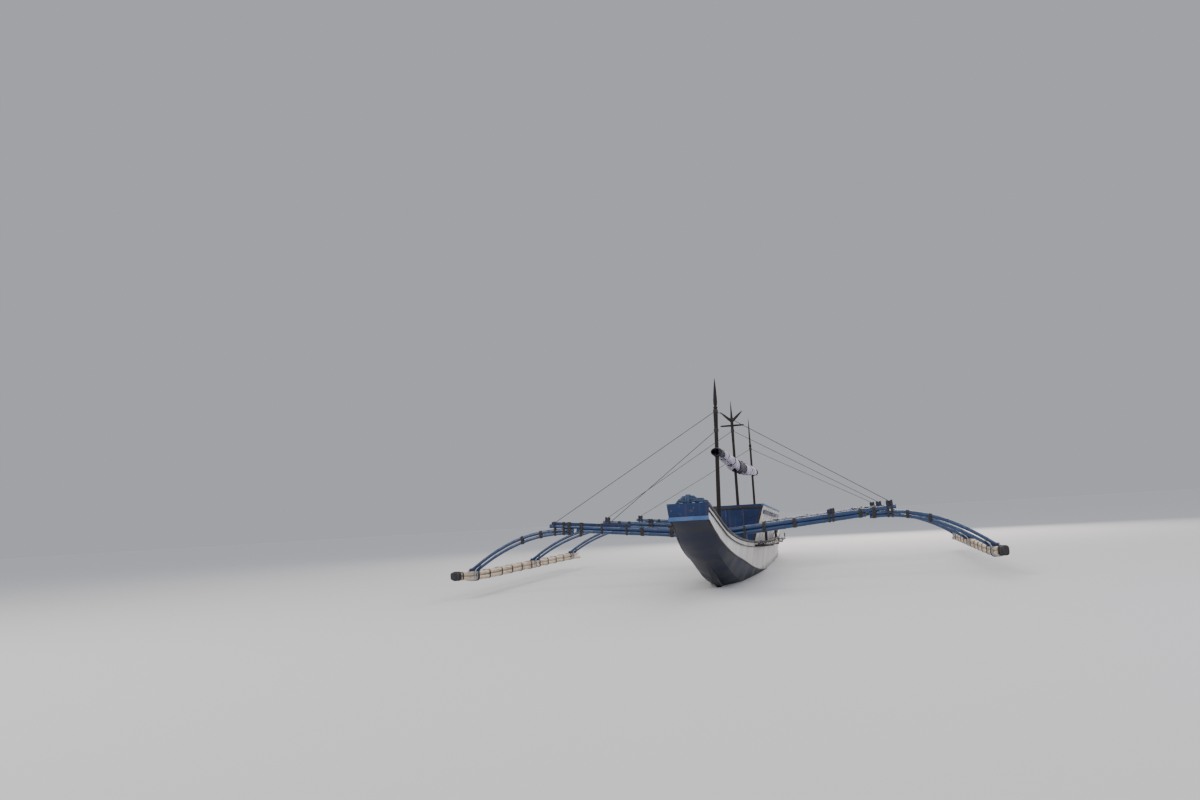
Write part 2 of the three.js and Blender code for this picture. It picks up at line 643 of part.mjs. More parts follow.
// A pole from one side to the other, with a shallow bend at the centreline
function veePole(station, end, radius, offset) {
  const middle = at(station, 0, boomHeight(0) + offset);
  const halves = SIDES.map(({ side }) => {
    const tip = at(station, side * end, boomHeight(end) + offset);
    return pole(middle, tip, radius, radius, BOOM.sides);
  });
  const knee = new THREE.SphereGeometry(radius, BOOM.sides, BOOM.sides / 2).translate(...middle.toArray());
  return [...halves, knee];
}

const upperOffset = BOOM.upperRadius - BOOM.nest;
const lowerOffset = -BOOM.lowerRadius;

function boomTopHeight(span) {
  return boomHeight(span) + upperOffset + BOOM.upperRadius;
}

// A block or plank lying on a boom, thickened by a clearance
function boomTop(station, side, { span, length, height }, clearance) {
  const depth = height + BOOM.topSunk;
  const piece = box(
    length + 2 * clearance, BOOM.topWidth + 2 * clearance, depth + 2 * clearance, 0, 0, height - depth / 2,
  );
  piece.rotateY(-side * BOOM_RISE_ANGLE);
  return piece.translate(side * span, station + BOW_Y, boomTopHeight(span));
}

function topsOn(name, side) {
  return name === '1' && side === STARBOARD ? BOOM_PLANK : BOOM_BLOCKS;
}

function boomPoles(station, clearance) {
  return [
    ...veePole(station, BOOM.bend + clearance, BOOM.upperRadius + clearance, upperOffset),
    ...veePole(station, BOOM.lowerEnd + clearance, BOOM.lowerRadius + clearance, lowerOffset),
  ];
}

for (const { name, station } of OUTRIGGERS) {
  const frame = hullAt(station);
  const bearers = SIDES.map(({ side }) => {
    const span = frame.sheerBeam - BOOM.bearerInset;
    const foot = gunwaleTop(frame) + GAP;
    const head = boomHeight(span) + lowerOffset;
    const middle = (foot + head) / 2;
    const block = box(BOOM.bearerLength, BOOM.bearerWidth, head - foot, side * span, station + BOW_Y, middle);
    return cut(block, under(gunwaleTop, station, side * span));
  });
  const tops = SIDES.flatMap(({ side }) => topsOn(name, side).map((top) => boomTop(station, side, top, 0)));
  add(`boom_${name}`, join(...boomPoles(station, 0), ...bearers, ...tops), material(PAINT.bamboo, 0.4));
}

function floatHeight(station) {
  const share = Math.min(1, (station - FLOAT.front) / FLOAT.riseLength);
  return THREE.MathUtils.lerp(FLOAT.frontHeight, FLOAT.bodyHeight, Math.sin((share * Math.PI) / 2));
}

function floatSpan(station) {
  const [first, , last] = OUTRIGGERS;
  const share = (station - first.station) / (last.station - first.station);
  return THREE.MathUtils.lerp(first.footSpan, last.footSpan, share);
}

// A float's poles, thickened by a clearance.
function floatPoles(side, clearance) {
  return BUNDLE.map(({ across, up, frontTrim, rearTrim }) => {
    const stations = [
      FLOAT.front + frontTrim, FLOAT.front + FLOAT.riseLength * FLOAT.kneeShare,
      FLOAT.front + FLOAT.riseLength, FLOAT.rear - rearTrim,
    ];
    const corners = polygon(FLOAT.poleRadius + clearance, FLOAT.sides).getPoints().slice(0, FLOAT.sides);
    return loft(stations.map((station) => corners.map((corner) => at(
      station,
      side * (floatSpan(station) + across * FLOAT.pitch + corner.x),
      floatHeight(station) + up * FLOAT.pitch + corner.y,
    ))));
  });
}

for (const { side, sideName } of SIDES) {
  for (const { name, station, footSpan } of OUTRIGGERS) {
    const seatHeight = floatHeight(station) + FLOAT.pitch / 2 + FLOAT.poleRadius - ARM.seatSink;
    const rootSpan = BOOM.lowerEnd + ARM.rootGap;
    const rootHeight = boomHeight(rootSpan) + upperOffset - BOOM.upperRadius - ARM.outerRadius + ARM.rootSink;
    const rise = new THREE.Vector2(1, BOOM_RISE).normalize();
    const angle = THREE.MathUtils.degToRad(ARM.footAngle);
    const inward = new THREE.Vector2(-Math.cos(angle), Math.sin(angle));
    const armPole = (radius, inset, drop, lead) => {
      const foot = new THREE.Vector2(footSpan - inset, seatHeight + radius * ARM.seatShare);
      const root = new THREE.Vector2(rootSpan, rootHeight - drop);
      const rootLead = root.clone().addScaledVector(rise, lead);
      const footLead = foot.clone().addScaledVector(inward, lead);
      const points = [root, rootLead, footLead, foot].map((point) => at(station, side * point.x, point.y));
      return tube(new THREE.CubicBezierCurve3(...points), radius, ARM.steps, ARM.sides);
    };
    const innerDrop = ARM.outerRadius + ARM.innerRadius - ARM.nest;
    const outer = armPole(ARM.outerRadius, 0, 0, ARM.lead);
    const inner = armPole(ARM.innerRadius, ARM.spread, innerDrop, ARM.innerLead);
    const saddle = box(
      ARM.spread + ARM.saddleLap, ARM.saddleWidth, ARM.saddleHeight,
      side * (footSpan - ARM.spread / 2), station + BOW_Y, seatHeight + ARM.saddleHeight / 2,
    );
    const bundleCore = box(
      3 * FLOAT.pitch, 3 * FLOAT.pitch, 2 * FLOAT.pitch,
      side * floatSpan(station), station + BOW_Y, seatHeight - FLOAT.pitch,
    );
    const keepOuts = [...floatPoles(side, GAP), bundleCore, ...boomPoles(station, GAP)];
    const arm = cut(join(outer, inner, saddle), ...keepOuts);
    add(`arm_${name}_${sideName}`, arm, material(PAINT.bamboo, 0.4));
  }
  add(`float_${sideName}`, join(...floatPoles(side, 0)), material(PAINT.floatBamboo, 0.6));
}

// Guard poles beside the gunwale

const guardFrames = framesBetween(GUARD.start, GUARD.end)
  .filter((_, i, all) => i % 3 === 0 || i === all.length - 1);
for (const { side, sideName } of SIDES) {
  const rail = (out) => {
    const points = guardFrames
      .map((frame) => at(frame.station, side * (frame.sheerBeam + out), frame.sheerHeight - GUARD.drop));
    return tube(new THREE.CatmullRomCurve3(points), GUARD.radius, GUARD.steps, GUARD.sides);
  };
  const brackets = GUARD_BRACKETS.map(({ station }) => {
    const frame = hullAt(station);
    const railBottom = frame.sheerHeight - GUARD.drop - GUARD.radius;
    const height = railBottom - GUARD.bracketHeight / 2 + GUARD.bracketSunk;
    const start = plankBeam(frame, height);
    const reach = frame.sheerBeam + GUARD.farOut + GUARD.radius - start;
    return box(
      reach, GUARD.bracketWidth, GUARD.bracketHeight, side * (start + reach / 2), station + BOW_Y, height,
    );
  });
  const stubStation = GUARD.end - GUARD.stubInset;
  const stubFrame = hullAt(stubStation);
  const stub = box(
    GUARD.stub, GUARD.stub, GUARD.stubHeight,
    side * (stubFrame.sheerBeam + GUARD.farOut), stubStation + BOW_Y,
    stubFrame.sheerHeight - GUARD.drop + GUARD.stubHeight / 2 - GUARD.stubSunk,
  );
  add(
    `guard_poles_${sideName}`,
    cut(join(rail(GUARD.nearOut), rail(GUARD.farOut), ...brackets, stub), ...sideKeepOuts),
    material(PAINT.dark, 0.6),
  );
}

// Masts. Each is a pole with a turned head, standing in a heel block.

function onDeck(mast) {
  return mast.station < DECK.foreEnd;
}

function standingOn(mast) {
  return onDeck(mast) ? deckTop(hullAt(mast.station)) + MAST_DECK_CLEARANCE : FLOOR.top + GAP;
}

// A mast's axis at a height: [x, z]
function mastAxis(mast, height) {
  const foot = standingOn(mast);
  return mast.footOffset + (height - foot) * Math.tan(THREE.MathUtils.degToRad(mast.lean));
}

function mastRadius(mast, height) {
  const foot = standingOn(mast);
  const shoulder = MAST_TOP - HEADS[mast.name][0].below - MAST_SHOULDER;
  return THREE.MathUtils.mapLinear(height, foot, shoulder, mast.footRadius, mast.headRadius);
}

// The middle mast's crown: two spikes from its crotch, and a crossbar under them
function crown(mast) {
  const crotch = at(mast.station, mastAxis(mast, MAST_TOP), MAST_TOP - CROWN.below);
  const barMiddle = crotch.clone().setZ(crotch.z - CROWN.barDrop);
  return SIDES.flatMap(({ side }) => {
    const tip = crotch.clone().add(new THREE.Vector3(side * CROWN.spikeSpan, 0, CROWN.spikeRise));
    const barEnd = barMiddle.clone().add(new THREE.Vector3(side * CROWN.barSpan, 0, 0));
    return [
      pole(crotch, tip, CROWN.spikeRoot, CROWN.spikeTip, CROWN.sides),
      pole(barMiddle, barEnd, CROWN.barRoot, CROWN.barTip, CROWN.sides),
    ];
  });
}

for (const mast of MASTS) {
  const foot = standingOn(mast);
  const head = HEADS[mast.name];
  const height = MAST_TOP - foot;
  const y = mast.station + BOW_Y;
  const stick = turned([
    [0, 0], [mast.footRadius, 0],
    [mast.headRadius, height - head[0].below - MAST_SHOULDER],
    ...head.map(({ below, radius }) => [radius, height - below]),
    [0, height],
  ], MAST_SIDES);
  stick.rotateY(THREE.MathUtils.degToRad(mast.lean));
  stick.translate(mast.footOffset, y, foot);
  const heelHeight = MAST_HEEL.height + MAST_HEEL.sunk;
  const heel = box(
    MAST_HEEL.size, MAST_HEEL.size, heelHeight, mast.footOffset, y, foot + MAST_HEEL.height - heelHeight / 2,
  );
  const pieces = mast.name === CROWN.mast ? [stick, heel, ...crown(mast)] : [stick, heel];
  const ground = onDeck(mast) ? deckTop : () => FLOOR.top;
  add(`mast_${mast.name}`, cut(join(...pieces), under(ground, mast.station, 0)), material(PAINT.dark, 0.6));
}

// Rolled awning, laced round the masts

const rollRings = ROLL_SECTIONS.map(({ station, middle, halfWidth, halfHeight, height }) => (
  polygon(1, ROLL.sides).getPoints().slice(0, ROLL.sides).map((corner) => (
    at(station, middle + halfWidth * corner.x, height + halfHeight * corner.y)
  ))
));
const mastHoles = MASTS.map((mast) => {
  const [low, high] = [ROLL.lowest, ROLL.highest].map((height) => (
    at(mast.station, mastAxis(mast, height), height)
  ));
  const [lowRadius, highRadius] = [ROLL.lowest, ROLL.highest].map((height) => (
    mastRadius(mast, height) + 2 * GAP
  ));
  return pole(low, high, lowRadius, highRadius, 2 * MAST_SIDES);
});
add('awning_roll', cut(loft(rollRings), ...mastHoles), material(PAINT.cloth, 0.9));

// Stays, from a mast down to the blocks on its boom

for (const stay of STAYS) {
  const mast = MASTS.find(({ name }) => name === stay.mast);
  const { station } = OUTRIGGERS.find(({ name }) => name === stay.mast);
  for (const { side, sideName } of stay.sides) {
    const top = topsOn(stay.mast, side).find(({ span, length }) => Math.abs(stay.span - span) < length / 2);
    const from = at(mast.station, mastAxis(mast, stay.height), stay.height);
    const to = at(station, side * stay.span, boomTopHeight(stay.span) + top.height - STAY_SUNK);
    const line = pole(from, to, STAY_RADIUS, STAY_RADIUS, 6);
    const sleeveRadius = mast.footRadius + STAY_RADIUS;
    const [sleeveFoot, sleeveHead] = [-4, 4].map((reach) => (
      from.clone().setZ(stay.height + reach * mast.footRadius)
    ));
    const mastSleeve = pole(sleeveFoot, sleeveHead, sleeveRadius, sleeveRadius, MAST_SIDES);
    const trimmed = cut(line, mastSleeve, boomTop(station, side, top, GAP));
    add(`stay_${stay.name}_${sideName}`, trimmed, material(PAINT.rope, 0.8));
  }
}

// Stern gear: shaft tube, propeller, rudder and tiller

const shaftAxis = new THREE.Vector3(0, 1, -SHAFT.slope).normalize();
const tubeEnd = at(SHAFT.tubeEnd, 0, SHAFT.endHeight);
const tubeStart = tubeEnd.clone().addScaledVector(shaftAxis, SHAFT.tubeStart - SHAFT.tubeEnd);
const strut = box(
  SHAFT.strutThickness, SHAFT.strutLength, SHAFT.strutHeight,
  0, SHAFT.tubeEnd - SHAFT.strutAhead + BOW_Y, SHAFT.endHeight + SHAFT.strutUp,
);
const hullKeepOut = along(SHAFT.tubeStart - SHAFT.strutLength, LENGTH, (frame) => (
  lowerHullSection(frame).map(([x, z]) => [x, z - GAP])
));
const keelKeepOut = along(SHAFT.tubeStart - SHAFT.strutLength, KEEL.end + GAP, (frame) => {
  const bottom = frame.keelHeight - KEEL.depth - 2 * GAP;
  const half = KEEL.halfWidth + GAP;
  return [[-half, bottom], [half, bottom], [half, frame.keelHeight], [-half, frame.keelHeight]];
});
const shaftTube = pole(tubeStart, tubeEnd, SHAFT.tubeRadius, SHAFT.tubeRadius, 12);
add('shaft_tube', cut(join(shaftTube, strut), hullKeepOut, keelKeepOut), material(PAINT.steel, 0.5, 0.6));

const bladeShape = new THREE.Shape();
bladeShape.moveTo(BLADE_START.x, BLADE_START.y);
for (const { controlX, controlY, x, y } of BLADE_CURVES) {
  bladeShape.quadraticCurveTo(controlX, controlY, x, y);
}
const hub = turned([
  [0, 0], [PROPELLER.hubRadius, 0], [PROPELLER.hubRadius, PROPELLER.hubLength * 0.7],
  [PROPELLER.hubRadius * 0.55, PROPELLER.hubLength], [0, PROPELLER.hubLength + PROPELLER.capLength],
], 16);
const blades = Array.from({ length: PROPELLER.blades }, (_, i) => {
  const blade = new THREE.ExtrudeGeometry(bladeShape, {
    depth: BLADE_THICKNESS, bevelEnabled: false, curveSegments: 5,
  });
  blade.translate(0, 0, -BLADE_THICKNESS / 2);
  blade.rotateZ(-Math.PI / 2);
  blade.rotateX(THREE.MathUtils.degToRad(PROPELLER.pitchAngle));
  blade.translate(0, 0, PROPELLER.hubLength * 0.4);
  blade.rotateZ((2 * Math.PI * i) / PROPELLER.blades);
  return blade;
});
const propeller = join(hub, ...blades);
propeller.applyQuaternion(new THREE.Quaternion().setFromUnitVectors(new THREE.Vector3(0, 0, 1), shaftAxis));
const propellerFoot = tubeEnd.clone().addScaledVector(shaftAxis, PROPELLER.running);
propeller.translate(propellerFoot.x, propellerFoot.y, propellerFoot.z);
add('propeller', propeller, material(PAINT.bronze, 0.35, 0.8));

const rudderY = RUDDER.station + BOW_Y;
const bladeOutline = new THREE.Shape(RUDDER_OUTLINE.map(({ aft, height }) => new THREE.Vector2(aft, height)));
const rudderBlade = new THREE.ExtrudeGeometry(bladeOutline, { depth: RUDDER.thickness, bevelEnabled: false });
rudderBlade.rotateX(Math.PI / 2).rotateZ(Math.PI / 2);
rudderBlade.translate(-RUDDER.thickness / 2, rudderY, 0);
const stock = pole(
  new THREE.Vector3(0, rudderY, RUDDER.stockBottom), new THREE.Vector3(0, rudderY, RUDDER.stockTop),
  RUDDER.stockRadius, RUDDER.stockRadius, 16,
);
add('rudder', join(rudderBlade, stock), material(PAINT.navy, 0.5));

const transomFace = LENGTH + GAP + TRANSOM_THICKNESS;
const [lowLug, highLug] = RUDDER.lugHeights;
const strap = box(
  RUDDER.strapWidth, RUDDER.strap, highLug - lowLug + 2 * RUDDER.strapLap, 0,
  transomFace + GAP + RUDDER.strap / 2 + BOW_Y, (lowLug + highLug) / 2,
);
const lugReach = RUDDER.station + RUDDER.stockRadius + RUDDER.lugRim - transomFace - GAP;
const lugs = RUDDER.lugHeights.map((height) => box(
  RUDDER.lugWidth, lugReach, RUDDER.lugThickness, 0, transomFace + GAP + lugReach / 2 + BOW_Y, height,
));
const boreRadius = RUDDER.stockRadius + RUDDER.bore;
const bore = pole(
  new THREE.Vector3(0, rudderY, lowLug - RUDDER.strapWidth),
  new THREE.Vector3(0, rudderY, highLug + RUDDER.strapWidth),
  boreRadius, boreRadius, 16,
);
add('rudder_bracket', cut(join(strap, ...lugs), bore), material(PAINT.steel, 0.5, 0.6));

const tillerFoot = new THREE.Vector3(0, rudderY, RUDDER.stockTop + GAP);
const tillerHead = box(
  TILLER.headSize, TILLER.headSize, TILLER.headHeight, 0, rudderY, tillerFoot.z + TILLER.headHeight / 2,
);
const barStart = new THREE.Vector3(0, rudderY, tillerFoot.z + TILLER.headHeight / 2);
const barEnd = barStart.clone().add(new THREE.Vector3(0, -TILLER.reach, TILLER.rise));
add('tiller', join(
  tillerHead, pole(barStart, barEnd, TILLER.rootRadius, TILLER.gripRadius, 10),
), material(PAINT.wood, 0.5));

const pegFrame = hullAt(PEG.station);
const pegHeight = pegFrame.sheerHeight - PEG.belowSheer;
const pegEnds = [plankBeam(pegFrame, pegHeight), sideBeam(pegFrame, pegHeight) + PEG.length];
const [pegRoot, pegTip] = pegEnds.map((beam) => at(PEG.station, STARBOARD * beam, pegHeight));
add('bow_peg', cut(pole(pegRoot, pegTip, PEG.radius), ...sideKeepOuts), material(PAINT.dark, 0.6));

export default boat;
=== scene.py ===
# %% [markdown]
# A double outrigger boat at rest on still water
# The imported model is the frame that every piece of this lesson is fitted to. It comes in as one object for
# each part of the boat, in metres, bow towards -Y, port side towards +X, with the waterline at height 0.
# Poles, ropes and cloth are modelled anew round it. The planked parts stay and get rounded edges and paint.

import json
import random
from math import copysign, cos, pi, radians, sin, tan

import bmesh
import bpy
from mathutils import Matrix, Vector, geometry


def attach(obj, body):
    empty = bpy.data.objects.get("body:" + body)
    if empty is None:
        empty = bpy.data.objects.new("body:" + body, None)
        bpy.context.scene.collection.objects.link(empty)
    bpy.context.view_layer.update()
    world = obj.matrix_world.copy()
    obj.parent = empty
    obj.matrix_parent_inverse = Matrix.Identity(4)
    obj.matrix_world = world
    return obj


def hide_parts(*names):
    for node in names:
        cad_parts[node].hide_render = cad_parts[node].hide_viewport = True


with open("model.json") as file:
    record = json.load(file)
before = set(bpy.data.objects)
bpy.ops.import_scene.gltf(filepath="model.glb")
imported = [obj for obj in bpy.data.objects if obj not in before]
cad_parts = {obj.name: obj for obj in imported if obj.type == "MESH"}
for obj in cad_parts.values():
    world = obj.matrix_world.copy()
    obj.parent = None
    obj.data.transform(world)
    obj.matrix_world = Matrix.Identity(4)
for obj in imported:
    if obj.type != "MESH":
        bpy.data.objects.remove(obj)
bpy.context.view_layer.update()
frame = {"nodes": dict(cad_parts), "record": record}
NODES = frame["nodes"]
random.seed(7)

# %% [markdown]
# The camera
# The boat is seen from chest height over the water, a little to port of its bow. It lists to starboard, and
# the picture is tilted a little too. The model is upright, so the camera takes both tilts: it is placed over
# level water first and then turned about the boat's long axis by the list.

# %% Camera
EYE = Vector((2.12, -23.20, 1.41))
VIEW_YAW = radians(12.9)
VIEW_PITCH = radians(6.3)
PICTURE_TILT = radians(1.33)
LIST_TO_STARBOARD = radians(2.06)
SENSOR_WIDTH = 36.0
FOCAL_SHARE = 1010 / 1200

camera_data = bpy.data.cameras.new("camera")
camera_data.sensor_width = SENSOR_WIDTH
camera_data.lens = SENSOR_WIDTH * FOCAL_SHARE
camera_data.clip_end = 1000
camera = bpy.data.objects.new("camera", camera_data)
bpy.context.scene.collection.objects.link(camera)
aim = (
    Matrix.Rotation(VIEW_YAW, 4, "Z")
    @ Matrix.Rotation(pi / 2 + VIEW_PITCH, 4, "X")
    @ Matrix.Rotation(-PICTURE_TILT, 4, "Z")
)
camera.matrix_world = Matrix.Rotation(LIST_TO_STARBOARD, 4, "Y") @ Matrix.Translation(EYE) @ aim
bpy.context.scene.camera = camera
print("camera stands at", [round(value, 2) for value in camera.matrix_world.translation])

# %% [markdown]
# Colours and shader nodes
# Paint makers and screens give colours as sRGB hex values, but a shader works in linear light, so one
# function turns the one into the other. A second small function adds any shader node with its settings
# and its links, which keeps each material short enough to read as a recipe.

# %% Colour and node helpers
def linear(hex_colour):
    """An sRGB colour such as "#1c3f7a" as linear red, green, blue and alpha."""
    channels = [int(hex_colour[i:i + 2], 16) / 255 for i in (1, 3, 5)]
    return (*[c / 12.92 if c <= 0.04045 else ((c + 0.055) / 1.055) ** 2.4 for c in channels], 1.0)


def add(tree, kind, settings=None, links=None):
    """A new shader node. A setting is an input socket's value, or else a property of the node."""
    node = tree.nodes.new("ShaderNode" + kind)
    for key, value in (settings or {}).items():
        if isinstance(key, int) or key in node.inputs:
            node.inputs[key].default_value = value
        else:
            setattr(node, key, value)
    for socket, source in (links or {}).items():
        tree.links.new(source, node.inputs[socket])
    return node


def new_material(name, **sockets):
    """A material with a Principled shader. Returns the material, its tree and its shader."""
    material = bpy.data.materials.new(name)
    material.use_nodes = True
    tree = material.node_tree
    shader = tree.nodes["Principled BSDF"]
    for socket, value in sockets.items():
        shader.inputs[socket.replace("_", " ")].default_value = value
    return material, tree, shader


# %% Pattern helpers
def object_place(tree):
    """Where a point lies in the boat, in metres."""
    return add(tree, "TexCoord").outputs["Object"]


def split(tree, place):
    """The three coordinates of a place, under the keys X, Y and Z."""
    return add(tree, "SeparateXYZ", links={"Vector": place}).outputs


def noise(tree, place, size, detail):
    """Soft random values from about 0.25 to 0.75, with features of one size or three, in metres."""
    sizes = size if isinstance(size, tuple) else (size, size, size)
    mapping = add(tree, "Mapping", {"Scale": [1 / length for length in sizes]}, {"Vector": place})
    cloud = add(tree, "TexNoise", {"Scale": 1.0, "Detail": detail}, {"Vector": mapping.outputs["Vector"]})
    return cloud.outputs["Fac"]


def ramp(tree, value, low, high, to_low=0.0, to_high=1.0):
    """The value carried from low..high to to_low..to_high, and held at those ends."""
    settings = {"From Min": low, "From Max": high, "To Min": to_low, "To Max": to_high}
    return add(tree, "MapRange", settings, {"Value": value}).outputs["Result"]


def calc(tree, operation, first, second=0.0):
    """One step of arithmetic on values that are sockets or plain numbers."""
    node = add(tree, "Math", {"operation": operation})
    for socket, value in zip(node.inputs, (first, second)):
        if isinstance(value, (int, float)):
            socket.default_value = value
        else:
            tree.links.new(value, socket)
    return node.outputs["Value"]


def mix(tree, factor, under, over):
    """Colour `over` laid on `under` where factor is 1. Both are hex colours or sockets."""
    node = add(tree, "Mix", {"data_type": "RGBA"}, {0: factor})
    for socket, colour in ((6, under), (7, over)):
        if isinstance(colour, str):
            node.inputs[socket].default_value = linear(colour)
        else:
            tree.links.new(colour, node.inputs[socket])
    return node.outputs[2]


def blend(tree, value, low, high, under, over, share=1.0):
    """Colour `over` laid on `under` as a value rises from low to high, up to a share."""
    return mix(tree, ramp(tree, value, low, high, 0.0, share), under, over)


def finish_shader(tree, shader, colour, roughness, height, depth):
    """Links a colour and a roughness, and bumps the surface by a height in units of depth metres."""
    bump = add(tree, "Bump", {"Distance": depth, "Strength": 1.0}, {"Height": height})
    sources = {"Base Color": colour, "Roughness": roughness, "Normal": bump.outputs["Normal"]}
    for socket, source in sources.items():
        tree.links.new(source, shader.inputs[socket])


print("linear mid grey:", [round(value, 3) for value in linear("#808080")])

# %% [markdown]
# Brushed enamel on planks
# The planks and plywood carry alkyd enamel, put on by brush each season. It has a low gloss, brush marks a
# millimetre or two apart along the plank, patches bleached by the sun, rain streaks, and chips that show
# the wood. The marks are drawn about 8 mm apart, because finer ones vanish at a few metres. On the hull a
# band of weed and scum follows the waterline, which Object coordinates give as height 0.

# %% Enamel
BRUSH_MARK = 0.008
BLEACH_PATCH = 0.7
CHIP = 0.035
SEAM_HALF = 0.004
SEAM_DEPTH = 3.0
WEED = "#2c3322"


def planked(tree, place, plank, colour, height, dark):
    """A colour and a height with dark seams cut in, a plank's width apart across X."""
    seam = ramp(tree, calc(tree, "PINGPONG", split(tree, place)["X"], plank / 2), 0.0, SEAM_HALF, 1.0, 0.0)
    cut = calc(tree, "MULTIPLY", seam, SEAM_DEPTH)
    return mix(tree, seam, colour, dark), calc(tree, "SUBTRACT", height, cut)


def enamel(
    name, colour, bleached, roughness=0.42, chips=0.67, weed=False, plank=0.0, wood="#5b4634", shine=0.4,
):
    """Enamel brushed along Y. plank is the width of a plank across X, or 0 where no seams show."""
    material, tree, shader = new_material(name, IOR=1.48, Specular_IOR_Level=shine)
    place = object_place(tree)
    marks = noise(tree, place, (BRUSH_MARK, 0.35, BRUSH_MARK), 2.0)
    patches = noise(tree, place, BLEACH_PATCH, 5.0)
    streaks = noise(tree, place, (0.05, 0.05, 0.6), 3.0)
    coat = blend(tree, patches, 0.4, 0.68, colour, bleached)
    coat = blend(tree, streaks, 0.55, 0.75, coat, wood, 0.35)
    flaked = ramp(tree, noise(tree, place, (CHIP, 3 * CHIP, CHIP), 4.0), chips, chips + 0.02)
    coat = mix(tree, flaked, coat, wood)
    height = calc(tree, "SUBTRACT", marks, flaked)
    gloss = ramp(tree, patches, 0.3, 0.7, roughness - 0.07, roughness + 0.12)
    if plank:
        coat, height = planked(tree, place, plank, coat, height, "#1b1815")
    if weed:
        ragged = calc(tree, "ADD", split(tree, place)["Z"], calc(tree, "MULTIPLY", marks, 0.12))
        growth = ramp(tree, ragged, 0.06, 0.2, 0.85, 0.0)
        growth = calc(tree, "MULTIPLY", growth, ramp(tree, patches, 0.35, 0.6, 0.45, 1.0))
        coat = mix(tree, growth, coat, WEED)
        gloss = calc(tree, "ADD", gloss, calc(tree, "MULTIPLY", growth, 0.2))
    finish_shader(tree, shader, coat, gloss, height, 0.0012)
    return material


navy_enamel = enamel(
    "navy_enamel_on_planks", "#060c21", "#0f1c3c", chips=0.72, weed=True, wood="#1c1a1c", shine=0.22,
)
white_enamel = enamel(
    "white_enamel_on_plywood", "#d8d5d2", "#c3bcb8", chips=0.69, weed=True, wood="#8b7b6c",
)
black_enamel = enamel("black_enamel_on_hardwood", "#16161b", "#2b2b31", 0.45, chips=0.66)
blue_enamel = enamel("deep_blue_enamel_on_plywood", "#0b1e46", "#152f5a", 0.4)
pale_blue_enamel = enamel("pale_blue_enamel_on_wood", "#2d5084", "#57749f", 0.5, chips=0.65)
deck_enamel = enamel("grey_deck_paint_on_planks", "#646a73", "#7f8286", 0.7, chips=0.64, plank=0.14)
print("enamels:", [material.name for material in bpy.data.materials])

# %% [markdown]
# Bare and oiled wood
# Thwarts, floor boards and the tiller are bare hardwood, greyed by salt, and the masts are oiled dark.
# Wood shows its grain as long fibres, so the same noise is stretched along the grain: about 3 mm across
# and 0.4 m long, drawn 6 mm wide to show. Raised grain catches the light, so it makes the bump as well.

# %% Wood
GRAIN = 0.006
ALONG = {"X": (0.4, GRAIN, GRAIN), "Y": (GRAIN, 0.4, GRAIN), "Z": (GRAIN, GRAIN, 0.4)}


def timber(name, light, dark, grain_axis, roughness, worn="#6f6a64", shine=0.5, plank=0.0):
    """Wood whose grain runs along an axis of the boat. worn is the colour of its weathered patches."""
    material, tree, shader = new_material(name, IOR=1.5, Specular_IOR_Level=shine)
    place = object_place(tree)
    grain = noise(tree, place, ALONG[grain_axis], 4.0)
    patches = noise(tree, place, 0.3, 4.0)
    colour = blend(tree, grain, 0.35, 0.65, dark, light)
    colour = blend(tree, patches, 0.45, 0.75, colour, worn, 0.5)
    height = grain
    if plank:
        colour, height = planked(tree, place, plank, colour, height, "#120e0b")
    gloss = ramp(tree, patches, 0.3, 0.7, roughness - 0.08, roughness + 0.1)
    finish_shader(tree, shader, colour, gloss, height, 0.0015)
    return material


floor_wood = timber("bare_floor_boards", "#7d6249", "#4a3626", "Y", 0.75, plank=0.115)
thwart_wood = timber("bare_hardwood_thwart", "#86684b", "#54402e", "X", 0.7)
tiller_wood = timber("oiled_hardwood_tiller", "#6b4a30", "#3a2617", "Y", 0.5)
mast_wood = timber("dark_oiled_mast", "#1f1511", "#0c0908", "Z", 0.6, worn="#332a25", shine=0.3)
print("timbers made:", floor_wood.name, thwart_wood.name, tiller_wood.name, mast_wood.name)

# %% [markdown]
# Metal fittings
# The shaft tube, hinges and bolts are galvanised steel: dull grey zinc with a faint mottle and rust in
# patches. The propeller and the rudder's straps are bronze, bright where it is worn and brown elsewhere.
# The engine is one block of cast iron in machinery enamel.

# %% Metals
def metal(name, bright, dull, stain, stained_from, roughness, metallic=1.0, grit=0.02):
    """Metal with a mottle and stains. stained_from is the noise value above which stains begin."""
    material, tree, shader = new_material(name, Metallic=metallic)
    place = object_place(tree)
    mottle = noise(tree, place, grit, 3.0)
    clouds = noise(tree, place, 0.12, 5.0)
    colour = blend(tree, mottle, 0.35, 0.65, dull, bright)
    colour = blend(tree, clouds, stained_from, stained_from + 0.1, colour, stain)
    gloss = ramp(tree, clouds, stained_from - 0.1, stained_from + 0.1, roughness, roughness + 0.25)
    finish_shader(tree, shader, colour, gloss, mottle, 0.0006)
    return material


zinc = metal("galvanised_steel", "#8c9196", "#6d7277", "#5c3a24", 0.6, 0.45, 0.85)
bronze = metal("cast_bronze", "#b08a4a", "#8a6a3a", "#4a3a26", 0.56, 0.32, 0.95, 0.03)
iron_enamel = metal("green_enamel_on_cast_iron", "#3f6152", "#33503f", "#3a2a20", 0.62, 0.45, 0.0, 0.006)
print("metals:", zinc.name, bronze.name, iron_enamel.name)

# %% [markdown]
# Bamboo, rope and cloth
# A pole is bent, so its fibres can't follow an axis of the boat. Each swept piece below carries a point
# attribute named straight, which says where the point would lie if the pole were straight along Z. Bamboo
# reads it for its long fibres and its dark joints, and rope for the three strands twisted round it. Cloth
# is a coarse woven tarpaulin. Its threads are half a millimetre apart, drawn 6 mm apart so that they show.

